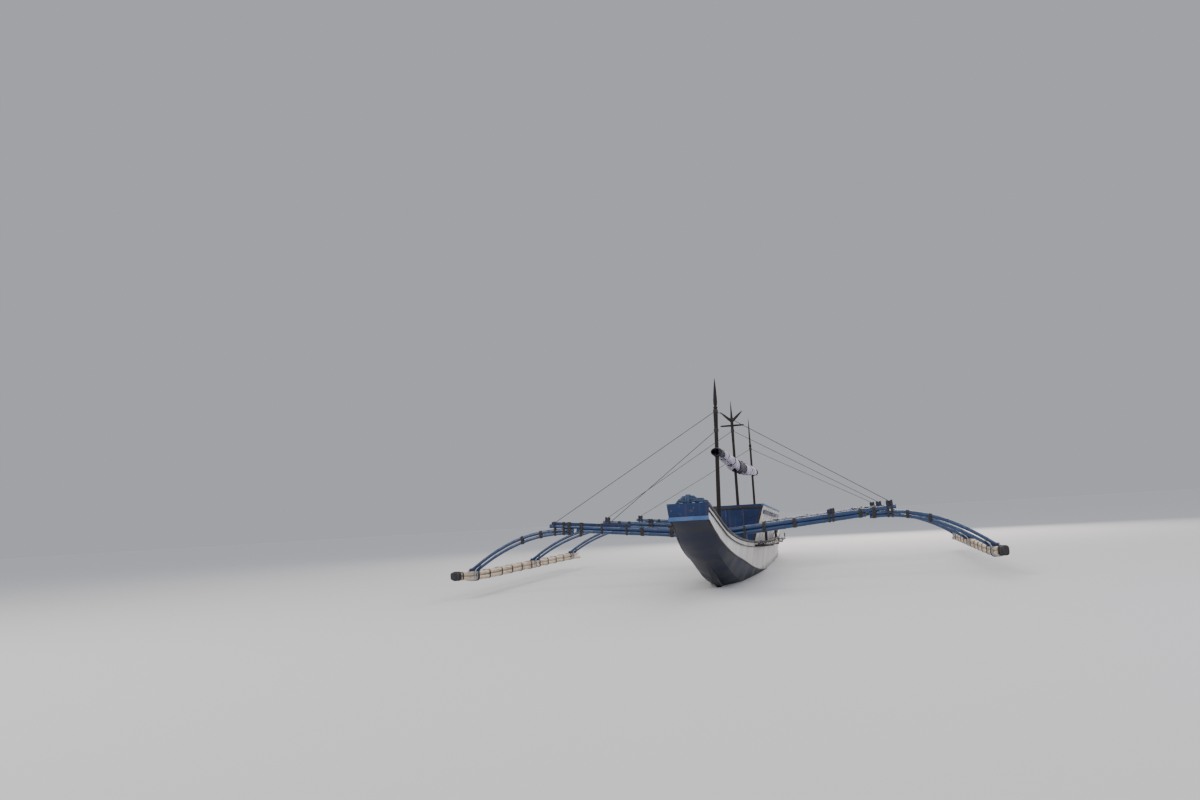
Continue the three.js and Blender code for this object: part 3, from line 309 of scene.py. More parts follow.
# %% Bamboo and rope
INTERNODE = 0.36
JOINT_MARK = 0.012
FIBRE = 0.004
STRANDS = 3


def straight_place(tree):
    """Where a point of a bent bar would lie if the bar were straight."""
    return add(tree, "Attribute", {"attribute_name": "straight"}).outputs["Vector"]


def bamboo(name, skin, worn, joint, roughness, worn_from, coat_weight):
    """Bamboo, painted or bare. worn_from is the noise value above which the skin is worn."""
    material, tree, shader = new_material(name, IOR=1.48, Coat_Weight=coat_weight, Coat_Roughness=0.2)
    place = straight_place(tree)
    fibres = noise(tree, place, (FIBRE, FIBRE, 0.25), 3.0)
    patches = noise(tree, place, (0.05, 0.05, 0.3), 4.0)
    to_joint = calc(tree, "PINGPONG", split(tree, place)["Z"], INTERNODE / 2)
    rings = ramp(tree, to_joint, 0.0, JOINT_MARK, 1.0, 0.0)
    colour = blend(tree, fibres, 0.35, 0.65, skin, worn, 0.35)
    colour = blend(tree, patches, worn_from, worn_from + 0.12, colour, worn)
    colour = mix(tree, calc(tree, "MULTIPLY", rings, 0.75), colour, joint)
    gloss = ramp(tree, patches, 0.3, 0.7, roughness - 0.05, roughness + 0.2)
    finish_shader(tree, shader, colour, gloss, fibres, 0.0008)
    return material


def rope(name, light, dark, twist):
    """Laid rope with painted shade in the grooves between its strands. twist is the length of one turn of a
    strand.
    """
    material, tree, shader = new_material(name, Roughness=0.85, Sheen_Weight=0.2)
    place = straight_place(tree)
    axes = split(tree, place)
    round_it = calc(tree, "MULTIPLY", calc(tree, "ARCTAN2", axes["Y"], axes["X"]), float(STRANDS))
    along_it = calc(tree, "MULTIPLY", axes["Z"], 2 * STRANDS * pi / twist)
    strands = ramp(tree, calc(tree, "SINE", calc(tree, "ADD", round_it, along_it)), -1.0, 0.6)
    dirt = noise(tree, place, (0.05, 0.05, 0.12), 3.0)
    # Painted shade: the grooves between the strands take the dark colour and the crowns the light one.
    colour = mix(tree, strands, dark, light)
    colour = blend(tree, dirt, 0.45, 0.7, colour, dark, 0.6)
    finish_shader(tree, shader, colour, ramp(tree, dirt, 0.3, 0.7, 0.75, 0.95), strands, 0.0025)
    return material


blue_bamboo = bamboo("blue_enamel_on_bamboo", "#122a50", "#375a86", "#091529", 0.3, 0.58, 0.35)
pale_bamboo = bamboo("sun_bleached_bamboo", "#c9b79f", "#a4917c", "#5f4d3d", 0.5, 0.5, 0.05)
nylon_rope = rope("nylon_lashing", "#b9c6cf", "#7b8791", 0.03)
dark_rope = rope("tarred_lashing", "#3a3430", "#1b1816", 0.03)
laid_rope = rope("blue_laid_polyester_rope", "#3f5a80", "#22334d", 0.05)
print("bamboos and ropes:", blue_bamboo.name, pale_bamboo.name, nylon_rope.name, laid_rope.name)

# %% Cloth and rubber
THREAD = 0.006
PANEL_EDGE = 0.012
DARK_PANELS = [(-4.2, -3.35), (0.05, 2.05), (5.22, 5.6)]


def tarpaulin(name, light, sky_shade_tone, stain, panel):
    """Woven tarpaulin with patches of painted sky shade. It reads the sheet's UV map, in metres across and
    along the flat cloth.
    """
    material, tree, shader = new_material(name, IOR=1.46, Specular_IOR_Level=0.25, Sheen_Weight=0.03)
    flat = add(tree, "UVMap", {"uv_map": "flat"}).outputs["UV"]
    axes = split(tree, flat)
    threads = [calc(tree, "SINE", calc(tree, "MULTIPLY", axes[key], 2 * pi / THREAD)) for key in ("X", "Y")]
    weave = calc(tree, "MULTIPLY", *threads)
    folds = noise(tree, flat, (0.12, 0.5, 0.5), 5.0)
    spots = noise(tree, flat, 0.35, 5.0)
    # Painted shade: the fold noise lays on patches of the purple-grey tone, which is white cloth as it looks
    # in a blue sky's shade.
    colour = blend(tree, folds, 0.35, 0.7, light, sky_shade_tone)
    colour = blend(tree, spots, 0.55, 0.75, colour, stain, 0.55)
    for start, end in DARK_PANELS:
        begun = ramp(tree, axes["Y"], start, start + PANEL_EDGE)
        not_ended = ramp(tree, axes["Y"], end, end - PANEL_EDGE)
        within = calc(tree, "MULTIPLY", begun, not_ended)
        colour = mix(tree, calc(tree, "MULTIPLY", within, 0.985), colour, panel)
    colour = blend(tree, weave, -1.0, 1.0, colour, stain, 0.12)
    height = calc(tree, "ADD", calc(tree, "MULTIPLY", weave, 0.15), folds)
    finish_shader(tree, shader, colour, ramp(tree, spots, 0.3, 0.7, 0.6, 0.85), height, 0.004)
    return material


def rubber(name, colour, dusty):
    """Old inner tubes: dull black rubber, dusty with salt."""
    material, tree, shader = new_material(name, IOR=1.52)
    place = object_place(tree)
    dust = noise(tree, place, 0.06, 5.0)
    grain = noise(tree, place, 0.003, 2.0)
    coat = blend(tree, dust, 0.45, 0.7, colour, dusty, 0.7)
    finish_shader(tree, shader, coat, ramp(tree, dust, 0.3, 0.7, 0.55, 0.85), grain, 0.0006)
    return material


# Painted shade: the lavender tint of the first colour and the purple-grey second colour are white cloth in a
# blue sky's shade.
awning_cloth = tarpaulin("woven_awning_tarpaulin", "#cfcbdb", "#aaa5ba", "#7d7684", "#141c33")
tube_rubber = rubber("inner_tube_rubber", "#17171a", "#3d3d40")
print("soft finishes:", awning_cloth.name, tube_rubber.name)

# %% [markdown]
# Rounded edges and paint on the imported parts
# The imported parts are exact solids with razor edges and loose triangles. A real plank's edge is rounded by
# the plane and the paint, and that thin highlight is what makes it read as wood. A small geometry group
# merges the corners and shades gentle angles smooth, and a Bevel modifier rounds the sharp ones. Both are
# modifiers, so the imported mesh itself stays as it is.

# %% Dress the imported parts
FINISHES = {
    "navy_hull_paint": navy_enamel, "white_side_paint": white_enamel, "dark_trim_paint": black_enamel,
    "blue_paint": blue_enamel, "faded_blue_paint": pale_blue_enamel, "deck_paint": deck_enamel,
    "blue_bamboo": blue_enamel, "pale_bamboo": thwart_wood, "mast_timber": mast_wood,
    "awning_cloth": tube_rubber, "stay_rope": dark_rope, "steel": zinc,
    "bronze": bronze, "engine_enamel": iron_enamel, "bare_wood": thwart_wood,
}
OWN_FINISHES = {"floor": floor_wood, "tiller": tiller_wood}
UNROUNDED = ("stay", "propeller", "deckhouse_wall", "rudder_bracket")
MERGED_BELOW = 0.00005
SMOOTH_BELOW = radians(28)
BEVEL_ABOVE = radians(35)
EDGE_ROUND = 0.003


def smooth_group():
    """A geometry group that merges corners and shades edges smooth where the faces turn gently."""
    group = bpy.data.node_groups.new("merge_and_smooth", "GeometryNodeTree")
    for direction in ("INPUT", "OUTPUT"):
        group.interface.new_socket("Geometry", in_out=direction, socket_type="NodeSocketGeometry")
    new, link = group.nodes.new, group.links.new
    source, result = new("NodeGroupInput"), new("NodeGroupOutput")
    merge = new("GeometryNodeMergeByDistance")
    smooth, sharp = (new("GeometryNodeSetShadeSmooth") for _ in range(2))
    angle, compare = new("GeometryNodeInputMeshEdgeAngle"), new("FunctionNodeCompare")
    merge.inputs["Distance"].default_value = MERGED_BELOW
    sharp.domain = "EDGE"
    compare.operation = "LESS_THAN"
    compare.inputs["B"].default_value = SMOOTH_BELOW
    link(source.outputs[0], merge.inputs["Geometry"])
    link(merge.outputs["Geometry"], smooth.inputs["Geometry"])
    link(smooth.outputs["Geometry"], sharp.inputs["Geometry"])
    link(angle.outputs["Unsigned Angle"], compare.inputs["A"])
    link(compare.outputs["Result"], sharp.inputs["Shade Smooth"])
    link(sharp.outputs["Geometry"], result.inputs[0])
    return group


merge_and_smooth = smooth_group()


def soften(obj, width=EDGE_ROUND):
    """Merges, shades and rounds an object's edges by modifiers."""
    obj.modifiers.new("merge_and_smooth", "NODES").node_group = merge_and_smooth
    if width:
        bevel = obj.modifiers.new("rounded_edges", "BEVEL")
        bevel.width = width
        bevel.segments = 2
        bevel.limit_method = "ANGLE"
        bevel.angle_limit = BEVEL_ABOVE
        bevel.harden_normals = True


slot_of = {part["node"]: part["material_slot"] for part in frame["record"]["subparts"]}
for name, node in NODES.items():
    node.data.materials.clear()
    node.data.materials.append(OWN_FINISHES.get(name, FINISHES[slot_of[name]]))
    soften(node, 0.0 if name.startswith(UNROUNDED) else EDGE_ROUND)
print("dressed", len(NODES), "packed parts")

# %% [markdown]
# Floor and light
# A plain pale floor lies at the waterline and hides what the water would. One broad lamp stands high on
# the left as the main light, a wider and weaker one fills from the right, and a third from behind draws a
# light edge along the poles and masts. Lamps many metres wide give the soft shadows of a studio. The camera
# sees the air in the colour of the lit floor, so that the two meet softly far away.

# %% Studio
FLOOR_RADIUS = 400.0
FLOOR_COLOUR = "#d8d9db"
AIR_COLOUR = "#e4e7ee"
AIR_STRENGTH = 0.76
LAMPS = [
    {"name": "main_light", "place": (-13, -20, 17), "size": 14, "power": 3900, "colour": "#fff4e8"},
    {"name": "fill_light", "place": (17, -15, 9), "size": 16, "power": 1600, "colour": "#eaf0ff"},
    {"name": "rim_light", "place": (4, 21, 12), "size": 14, "power": 3500, "colour": "#fff0e6"},
]
LIGHT_TARGET = Vector((0, 0, 1.2))

floor_mesh = bpy.data.meshes.new("studio_floor")
shape = bmesh.new()
bmesh.ops.create_circle(shape, cap_ends=True, segments=64, radius=FLOOR_RADIUS)
shape.to_mesh(floor_mesh)
shape.free()
studio_floor = bpy.data.objects.new("studio_floor", floor_mesh)
bpy.context.scene.collection.objects.link(studio_floor)
floor_mesh.materials.append(
    new_material("matt_studio_floor", Base_Color=linear(FLOOR_COLOUR), Roughness=0.9)[0]
)

for lamp in LAMPS:
    light = bpy.data.lights.new(lamp["name"], "AREA")
    light.size = lamp["size"]
    light.energy = lamp["power"]
    light.color = linear(lamp["colour"])[:3]
    holder = bpy.data.objects.new(lamp["name"], light)
    holder.location = lamp["place"]
    holder.rotation_euler = (LIGHT_TARGET - holder.location).to_track_quat("-Z", "Y").to_euler()
    bpy.context.scene.collection.objects.link(holder)

world = bpy.data.worlds.new("studio_air")
world.use_nodes = True
air = world.node_tree.nodes["Background"]
air.inputs["Strength"].default_value = AIR_STRENGTH
far_floor = [light * paint for light, paint in zip(linear(AIR_COLOUR), linear(FLOOR_COLOUR))]
seen = add(world.node_tree, "LightPath").outputs["Is Camera Ray"]
backdrop = add(world.node_tree, "Mix", {"data_type": "RGBA", 6: linear(AIR_COLOUR), 7: far_floor}, {0: seen})
world.node_tree.links.new(backdrop.outputs[2], air.inputs["Color"])
bpy.context.scene.world = world
print("lamps:", [lamp["name"] for lamp in LAMPS])

# %% [markdown]
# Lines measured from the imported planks
# New trim has to lie on the hull, so its place is read from the hull. The planks are built from frames about
# half a metre apart, and at each frame a corner of the plank's section is a vertex. Picking, for every
# frame, the vertex that lies furthest in some direction gives the line of the gunwale or of the chine.

# %% Lines of the hull
SIDES = [("port", 1), ("starboard", -1)]
EAST, NORTH, UP = Vector((1, 0, 0)), Vector((0, 1, 0)), Vector((0, 0, 1))


def line_of(node, furthest):
    """One vertex for each frame of a node: the one for which furthest(co) is greatest. Sorted by Y."""
    best = {}
    for vertex in NODES[node].data.vertices:
        key = round(vertex.co.y, 3)
        if key not in best or furthest(vertex.co) > furthest(best[key]):
            best[key] = vertex.co.copy()
    return [best[key] for key in sorted(best)]


def point_at(line, y):
    """The point of a line at a distance y along the boat."""
    for before, after in zip(line, line[1:]):
        if before.y <= y <= after.y:
            return before.lerp(after, (y - before.y) / (after.y - before.y))
    return line[0].copy() if y < line[0].y else line[-1].copy()


gunwale_top = {name: line_of(f"gunwale_{name}", lambda co: co.z * 10 + abs(co.x)) for name, _ in SIDES}
chine = {name: line_of(f"topside_{name}", lambda co: abs(co.x) - co.z * 10) for name, _ in SIDES}
deck_line = line_of("foredeck", lambda co: co.z)
print("gunwale amidships:", [round(value, 3) for value in point_at(gunwale_top["port"], 0.0)])

# %% [markdown]
# Bars swept along a path
# Bamboo, rope and rails are all round bars along a path. One ring of edges is made by the circle operator
# and extruded from point to point, each time carried by a matrix to its next place and size. The ring is
# turned as little as possible, so the bar doesn't twist. While it grows, each vertex gets the attribute
# named straight, which the bamboo and rope materials read.

# %% Path helpers
EDGE_CUT = {"segments": 2, "profile": 0.5, "affect": "EDGES", "material": -1}


def path_frames(points, closed=False):
    """A matrix at each point whose Z runs along the path."""
    frames = []
    count = len(points)
    side = (points[1] - points[0]).orthogonal()
    for i, point in enumerate(points):
        before = points[i - 1] if closed or i else point
        after = points[(i + 1) % count] if closed or i < count - 1 else point
        along = (after - before).normalized()
        side = (side - along * side.dot(along)).normalized()
        turn = Matrix((side, along.cross(side), along)).transposed().to_4x4()
        frames.append(Matrix.Translation(point) @ turn)
    return frames


def lengths_along(points):
    """The distance along the path to each of its points."""
    total = [0.0]
    for before, after in zip(points, points[1:]):
        total.append(total[-1] + (after - before).length)
    return total


# %% Bars and skins
def new_shape():
    """An empty bmesh with the straight attribute."""
    shape = bmesh.new()
    shape.verts.layers.float_vector.new("straight")
    return shape


def extruded(shape, edges):
    """Extrudes a ring of edges. Returns the new ring's vertices and its edges."""
    made = bmesh.ops.extrude_edge_only(shape, edges=edges)["geom"]
    ring = [item for item in made if isinstance(item, bmesh.types.BMVert)]
    inside = set(ring)
    return ring, [item for item in made if isinstance(item, bmesh.types.BMEdge) and set(item.verts) <= inside]


def swept(points, radius, sides=8, closed=False, start=0.0):
    """A round bar along the points, in a bmesh of its own, and its end faces. radius may be a list."""
    bar = new_shape()
    straight = bar.verts.layers.float_vector["straight"]
    radii = radius if isinstance(radius, list) else [radius] * len(points)
    places = [
        place @ Matrix.Diagonal((size, size, 1.0, 1.0))
        for place, size in zip(path_frames(points, closed), radii)
    ]
    ring = bmesh.ops.create_circle(bar, segments=sides, radius=1.0, matrix=places[0])["verts"]
    first_edges = edges = bar.edges[:]
    for i, (place, length) in enumerate(zip(places, lengths_along(points))):
        if i:
            ring, edges = extruded(bar, edges)
            bmesh.ops.transform(bar, matrix=place @ places[i - 1].inverted(), verts=ring)
        back = place.inverted()
        for vert in ring:
            local = back @ vert.co
            vert[straight] = (local.x * radii[i], local.y * radii[i], start + length)
    if closed:
        bmesh.ops.bridge_loops(bar, edges=first_edges + edges)
        return bar, []
    return bar, [bmesh.ops.edgeloop_fill(bar, edges=loop)["faces"][0] for loop in (first_edges, edges)]


def lofted(rings):
    """A closed skin through rings of the same number of points, in a bmesh of its own."""
    skin = new_shape()
    row = bmesh.ops.create_circle(skin, segments=len(rings[0]), radius=1.0)["verts"]
    first_edges = edges = skin.edges[:]
    for i, ring in enumerate(rings):
        if i:
            made, edges = extruded(skin, edges)
            new = set(made)
            neighbours = [[edge.other_vert(vert) for edge in vert.link_edges] for vert in row]
            row = [next(vert for vert in near if vert in new) for near in neighbours]
        for vert, co in zip(row, ring):
            vert.co = co
    for loop in (first_edges, edges):
        bmesh.ops.edgeloop_fill(skin, edges=loop)
    bmesh.ops.recalc_face_normals(skin, faces=skin.faces)
    return skin


# %% Pieces
def join_in(shape, part):
    """Adds a finished part to a shape. Many small parts are quicker to make than one that grows."""
    mesh = bpy.data.meshes.new("part")
    part.to_mesh(mesh)
    part.free()
    shape.from_mesh(mesh)
    bpy.data.meshes.remove(mesh)


def sweep(shape, points, radius, sides=8, closed=False, start=0.0):
    """Adds a round bar along the points to a shape."""
    join_in(shape, swept(points, radius, sides, closed, start)[0])


def rope_turn(shape, points, radius, sides=6):
    """Adds a closed turn of rope. Its strands begin at a random place."""
    sweep(shape, points, radius, sides, closed=True, start=random.random())


def block(shape, centre, size, turn=None, edge=0.004):
    """A box with rounded edges, such as a sawn block. turn is a rotation matrix."""
    place = Matrix.Translation(centre) @ (turn or Matrix.Identity(4)) @ Matrix.Diagonal((*size, 1.0))
    corners = bmesh.ops.create_cube(shape, size=1.0, matrix=place)["verts"]
    edges = list({edge for vert in corners for edge in vert.link_edges})
    bmesh.ops.bevel(shape, geom=edges, offset=edge, clamp_overlap=True, **EDGE_CUT)


def piece(name, shape, material, body="hull", smooth=True, instead_of=None):
    """The finished bmesh as an object that rides on a body of the frame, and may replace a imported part."""
    bmesh.ops.recalc_face_normals(shape, faces=shape.faces)
    mesh = bpy.data.meshes.new(name)
    for face in shape.faces:
        face.smooth = smooth
    shape.to_mesh(mesh)
    shape.free()
    mesh.materials.append(material)
    obj = bpy.data.objects.new(name, mesh)
    bpy.context.scene.collection.objects.link(obj)
    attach(obj, body)
    if instead_of:
        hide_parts(instead_of)
    print(name, len(mesh.polygons), "faces")
    return obj


# %% [markdown]
# Turns of rope
# Nothing on this boat is screwed that can be tied. A lashing goes round two or more poles, and a taut rope
# takes the shortest way round them, which is the outline of the group. For any direction the outline's
# point lies on the pole that reaches furthest that way, so one short function finds it. A lashing is that
# loop swept again and again beside itself, turn by turn, each a little uneven.

# %% Lashing helpers
CORD = 0.0045
CORNER = 0.002


def around(circles, across, up, clearance, count):
    """The taut outline round circles, each a (centre, radius), in the plane of across and up."""
    points = []
    for i in range(count):
        angle = 2 * pi * i / count
        direction = across * cos(angle) + up * sin(angle)
        centre, radius = max(circles, key=lambda circle: circle[0].dot(direction) + circle[1])
        points.append(centre + direction * (radius + clearance))
    return points


def lash(shape, circles, turns, across=EAST, up=UP, radius=CORD, count=24, pitch=2.05):
    """Turns of rope side by side round circles."""
    normal = across.cross(up).normalized()
    loop = around(circles, across, up, radius, count)
    for i in range(turns):
        shift = normal * radius * pitch * (i - (turns - 1) / 2)
        wobble = [shift + normal * random.uniform(-0.15, 0.15) * radius for _ in loop]
        rope_turn(shape, [point + offset for point, offset in zip(loop, wobble)], radius)


print("helpers ready")

# %% [markdown]
# Bamboo poles
# The booms, their arms and the floats are whole bamboo culms. A culm swells at each joint, about every
# 36 cm here, and is a little slimmer between, and its cut end is hollow up to the last joint. The sweep gets
# a radius for each point, so a culm is one sweep with a few more points near each joint. The end faces
# are inset and pushed in to open the hollow.

# %% Bamboo
JOINT_PROFILE = [(-0.022, 1.0), (-0.007, 1.035), (0.0, 1.07), (0.006, 1.03), (0.018, 0.99), (0.18, 0.965)]
WALL_SHARE = 0.3
HOLLOW_SHARE = 1.2
END_CLEAR = 0.005
LIP = 0.001


def walk(points, lengths, distance):
    """The point of a path at a distance from its start."""
    last = len(points) - 1
    i = next((i for i in range(1, last) if distance <= lengths[i]), last)
    return points[i - 1].lerp(points[i], (distance - lengths[i - 1]) / (lengths[i] - lengths[i - 1]))


def culm(shape, route, root_radius, tip_radius, sides=16, thin_end=None):
    """A bamboo culm with joints, a taper and hollow ends. thin_end(distance) slims its start."""
    lengths = lengths_along(route)
    total = lengths[-1]
    start = random.uniform(0.08, 0.9) * INTERNODE
    stops = [(0.0, 1.0), (total, 1.0)]
    joint = INTERNODE - start
    while joint < total:
        near_joint = [(joint + step, swell) for step, swell in JOINT_PROFILE]
        stops += [stop for stop in near_joint if END_CLEAR < stop[0] < total - END_CLEAR]
        joint += INTERNODE
    stops.sort()
    points = [walk(route, lengths, distance) for distance, _ in stops]
    radii = [
        (root_radius + (tip_radius - root_radius) * distance / total)
        * (thin_end(distance) if thin_end else 1.0) * swell
        for distance, swell in stops
    ]
    bar, ends = swept(points, radii, sides, start=start)
    bmesh.ops.recalc_face_normals(bar, faces=bar.faces)
    for face, radius in zip(ends, (root_radius, tip_radius)):
        bmesh.ops.inset_individual(bar, faces=[face], thickness=WALL_SHARE * radius, depth=0.0)
        bmesh.ops.inset_individual(bar, faces=[face], thickness=LIP, depth=-HOLLOW_SHARE * radius)
    join_in(shape, bar)


# %% [markdown]
# Floats
# Each float is four culms lashed into a square bundle. It hangs just over still water, so that only the
# side the boat leans to is wetted, and it rises a little at its front. A culm's thin end points forward,
# which narrows the bundle there. The thick ends are uneven and fan out behind the last arm.

# %% Floats
BOOM_Y = {"1": -4.24, "2": 0.40, "3": 4.57}
FOOT_SPAN = {"1": 4.87, "2": 5.03, "3": 5.19}
FLOAT_FRONT, FLOAT_REAR = -5.30, 5.45
FLOAT_RISE = {"length": 2.6, "front": 0.425, "body": 0.372}
CULM_PITCH = 0.084
CULM_RADIUS = 0.045
BUNDLE_HALF = CULM_PITCH / 2 + CULM_RADIUS
BUNDLE = [
    {"across": -0.5, "up": -0.5, "front": 0.00, "rear": 0.12},
    {"across": 0.5, "up": -0.5, "front": 0.07, "rear": 0.00},
    {"across": -0.5, "up": 0.5, "front": 0.11, "rear": 0.26},
    {"across": 0.5, "up": 0.5, "front": 0.03, "rear": 0.18},
]
FAN = {"from": 4.75, "length": 0.7, "share": 0.5}
THIN_END = {"length": 1.0, "share": 0.72}
CULM_BOW = 0.004
CULM_STEPS = 24


def evenly(first, last, steps):
    """Values from the first to the last in even steps."""
    return [first + (last - first) * step / steps for step in range(steps + 1)]


def thinning(distance):
    """The share of its full size that a float's bundle has at a distance from its front."""
    return THIN_END["share"] + (1.0 - THIN_END["share"]) * min(1.0, distance / THIN_END["length"])


def float_middle(y, side):
    """The middle of a float's bundle at a distance along the boat. Its upper face keeps its line."""
    rise = min(1.0, (y - FLOAT_FRONT) / FLOAT_RISE["length"])
    height = FLOAT_RISE["front"] + (FLOAT_RISE["body"] - FLOAT_RISE["front"]) * sin(rise * pi / 2)
    height += BUNDLE_HALF * (1.0 - thinning(y - FLOAT_FRONT))
    share = (y - BOOM_Y["1"]) / (BOOM_Y["3"] - BOOM_Y["1"])
    span = FOOT_SPAN["1"] + (FOOT_SPAN["3"] - FOOT_SPAN["1"]) * share
    return Vector((side * span, y, height))


def culm_circles(y, side, clearance=0.0):
    """The four culms' sections at a distance along the boat, as circles for a lashing."""
    thin = thinning(y - FLOAT_FRONT)
    fan = thin + FAN["share"] * max(0.0, (y - FAN["from"]) / FAN["length"]) ** 2
    middle = float_middle(y, side)
    offsets = [Vector((row["across"], 0, row["up"])) * CULM_PITCH * fan for row in BUNDLE]
    return [(middle + offset, CULM_RADIUS * thin + clearance) for offset in offsets]


for side_name, side in SIDES:
    shape = new_shape()
    for i, row in enumerate(BUNDLE):
        bow = random.uniform(0.6, 1.4)
        route = [
            culm_circles(y, side)[i][0] + UP * CULM_BOW * sin(bow * y + i)
            for y in evenly(FLOAT_FRONT + row["front"], FLOAT_REAR - row["rear"], CULM_STEPS)
        ]
        culm(shape, route, CULM_RADIUS, CULM_RADIUS, thin_end=thinning)
    piece(f"float_{side_name}_culms", shape, pale_bamboo, instead_of=f"float_{side_name}")

# %% [markdown]
# Cross booms
# Three booms cross the hull. Each is two painted poles a side, one on the other, that meet butt to butt over
# the keel, rise gently outward and grow slimmer. Sawn bearers hold them off the gunwales, and blocks on top
# take the stays. The forward boom has a plank there on its starboard side.

# %% Booms
BOOM_RISE = radians(5.2)
BOOM_CENTRE = 0.940
UPPER = {"radius": 0.045, "offset": 0.041, "end": 3.23}
LOWER = {"radius": 0.043, "offset": -0.043, "end": 2.70}
BEARER = {"length": 0.058, "width": 0.110, "inset": 0.034, "gap": 0.001}
BLOCKS = {
    "tops": [
        {"span": 2.08, "length": 0.130, "height": 0.062}, {"span": 3.12, "length": 0.120, "height": 0.066},
    ],
    "ties": [2.045, 2.115, 3.085, 3.155],
}
PLANK = {"tops": [{"span": 2.42, "length": 1.54, "height": 0.030}], "ties": [1.72, 2.20, 2.95, 3.13]}
TOP_WIDTH = 0.060
TOP_SUNK = 0.020
TIP_SHARE = 0.84
BUTT = 0.001
BOOM_STEPS = 12


def on_top(name, side):
    """What lies on top of a boom on one side, and where its ties are."""
    return PLANK if (name, side) == ("1", -1) else BLOCKS


def boom_point(y, span, offset):
    """A point above or below the booms' middle line. span is positive to port."""
    return Vector((span, y, BOOM_CENTRE + tan(BOOM_RISE) * abs(span) + offset))


def boom_pole(y, span, pole):
    """One of a boom's poles, slimmer outward, as the circle that it is at a distance from the keel."""
    slimmed = 1.0 - (1.0 - TIP_SHARE) * abs(span) / UPPER["end"]
    return boom_point(y, span, pole["offset"] * slimmed), pole["radius"] * slimmed


def boom_up(side):
    """The direction square to a boom's slope."""
    return Vector((-side * sin(BOOM_RISE), 0, cos(BOOM_RISE)))


def bearer_place(y, side_name):
    """The top of the gunwale under a boom, and the bearer's distance from the keel."""
    edge = point_at(gunwale_top[side_name], y)
    return edge, abs(edge.x) - BEARER["inset"]


for name, y in BOOM_Y.items():
    shape = new_shape()
    for pole in (UPPER, LOWER):
        for side in (1, -1):
            circles = [boom_pole(y, side * span, pole) for span in evenly(BUTT, pole["end"], BOOM_STEPS)]
            culm(shape, [centre for centre, _ in circles], circles[0][1], circles[-1][1])
    piece(f"boom_{name}_poles", shape, blue_bamboo, instead_of=f"boom_{name}")

    shape = new_shape()
    for side_name, side in SIDES:
        edge, span = bearer_place(y, side_name)
        head = boom_point(y, span, LOWER["offset"]).z
        middle = Vector((side * span, y, (edge.z + head) / 2))
        block(shape, middle, (BEARER["length"], BEARER["width"], head - edge.z - BEARER["gap"]))
        turn = Matrix.Rotation(-side * BOOM_RISE, 4, "Y")
        for top in on_top(name, side)["tops"]:
            seat = boom_point(y, side * top["span"], UPPER["offset"] + UPPER["radius"])
            size = (top["length"], TOP_WIDTH, top["height"] + TOP_SUNK)
            block(shape, seat + boom_up(side) * (top["height"] - TOP_SUNK) / 2, size, turn)
    piece(f"boom_{name}_blocks", shape, blue_enamel)

# %% [markdown]
# Arms
# From under each boom's end two slimmer poles are bent down to the float, one outside the other. They
# meet at the top and part towards the foot, where a saddle block spreads their load over the bundle. A
# bent pole starts along the boom and ends at the slope of the foot, which is just what a Bezier curve does.

# %% Arms
ARM = {"root": 2.76, "sunk": 0.006, "foot_angle": radians(36), "seat": 0.6, "nest": 0.008, "tip_share": 0.94}
OUTER = {"radius": 0.033, "inset": 0.0, "lead": 0.850}
INNER = {"radius": 0.030, "inset": 0.125, "lead": 0.731}
ARM_POINTS = 26
SADDLE = {"length": 0.215, "width": 0.084, "height": 0.052, "sunk": 0.006}


def float_top(y, side):
    """The height at which a saddle sits on a float."""
    return float_middle(y, side).z + BUNDLE_HALF - SADDLE["sunk"]


def arm_route(name, side, pole):
    """Points of one bent pole, from under the boom to its foot."""
    y = BOOM_Y[name]
    drop = 0.0 if pole is OUTER else OUTER["radius"] + INNER["radius"] - ARM["nest"]
    under_boom = UPPER["offset"] - UPPER["radius"] - OUTER["radius"] + ARM["sunk"] - drop
    root = boom_point(y, side * ARM["root"], under_boom)
    foot_z = float_top(y, side) + pole["radius"] * ARM["seat"]
    foot = Vector((side * (FOOT_SPAN[name] - pole["inset"]), y, foot_z))
    outward = Vector((side * cos(BOOM_RISE), 0, sin(BOOM_RISE)))
    inward = Vector((-side * cos(ARM["foot_angle"]), 0, sin(ARM["foot_angle"])))
    leads = (root + outward * pole["lead"], foot + inward * pole["lead"])
    return geometry.interpolate_bezier(root, *leads, foot, ARM_POINTS)


for name, y in BOOM_Y.items():
    for side_name, side in SIDES:
        arm = f"arm_{name}_{side_name}"
        shape = new_shape()
        for pole in (OUTER, INNER):
            tip_radius = pole["radius"] * ARM["tip_share"]
            culm(shape, arm_route(name, side, pole), pole["radius"], tip_radius, 14)
        piece(f"{arm}_poles", shape, blue_bamboo, instead_of=arm)
        shape = new_shape()
        across = side * (FOOT_SPAN[name] - INNER["inset"] / 2)
        middle = Vector((across, y, float_top(y, side) + SADDLE["height"] / 2))
        block(shape, middle, (SADDLE["length"], SADDLE["width"], SADDLE["height"]), edge=0.006)
        piece(f"saddle_{name}_{side_name}", shape, blue_enamel)

# %% [markdown]
# Masts
# The three masts are turned timber poles. Each outline is a list of heights and radii, swept straight up
# from the heel block and closed at the tip. The forward mast leans a little to port, and the middle one
# carries a crown: two carved spikes and a crossbar below them.

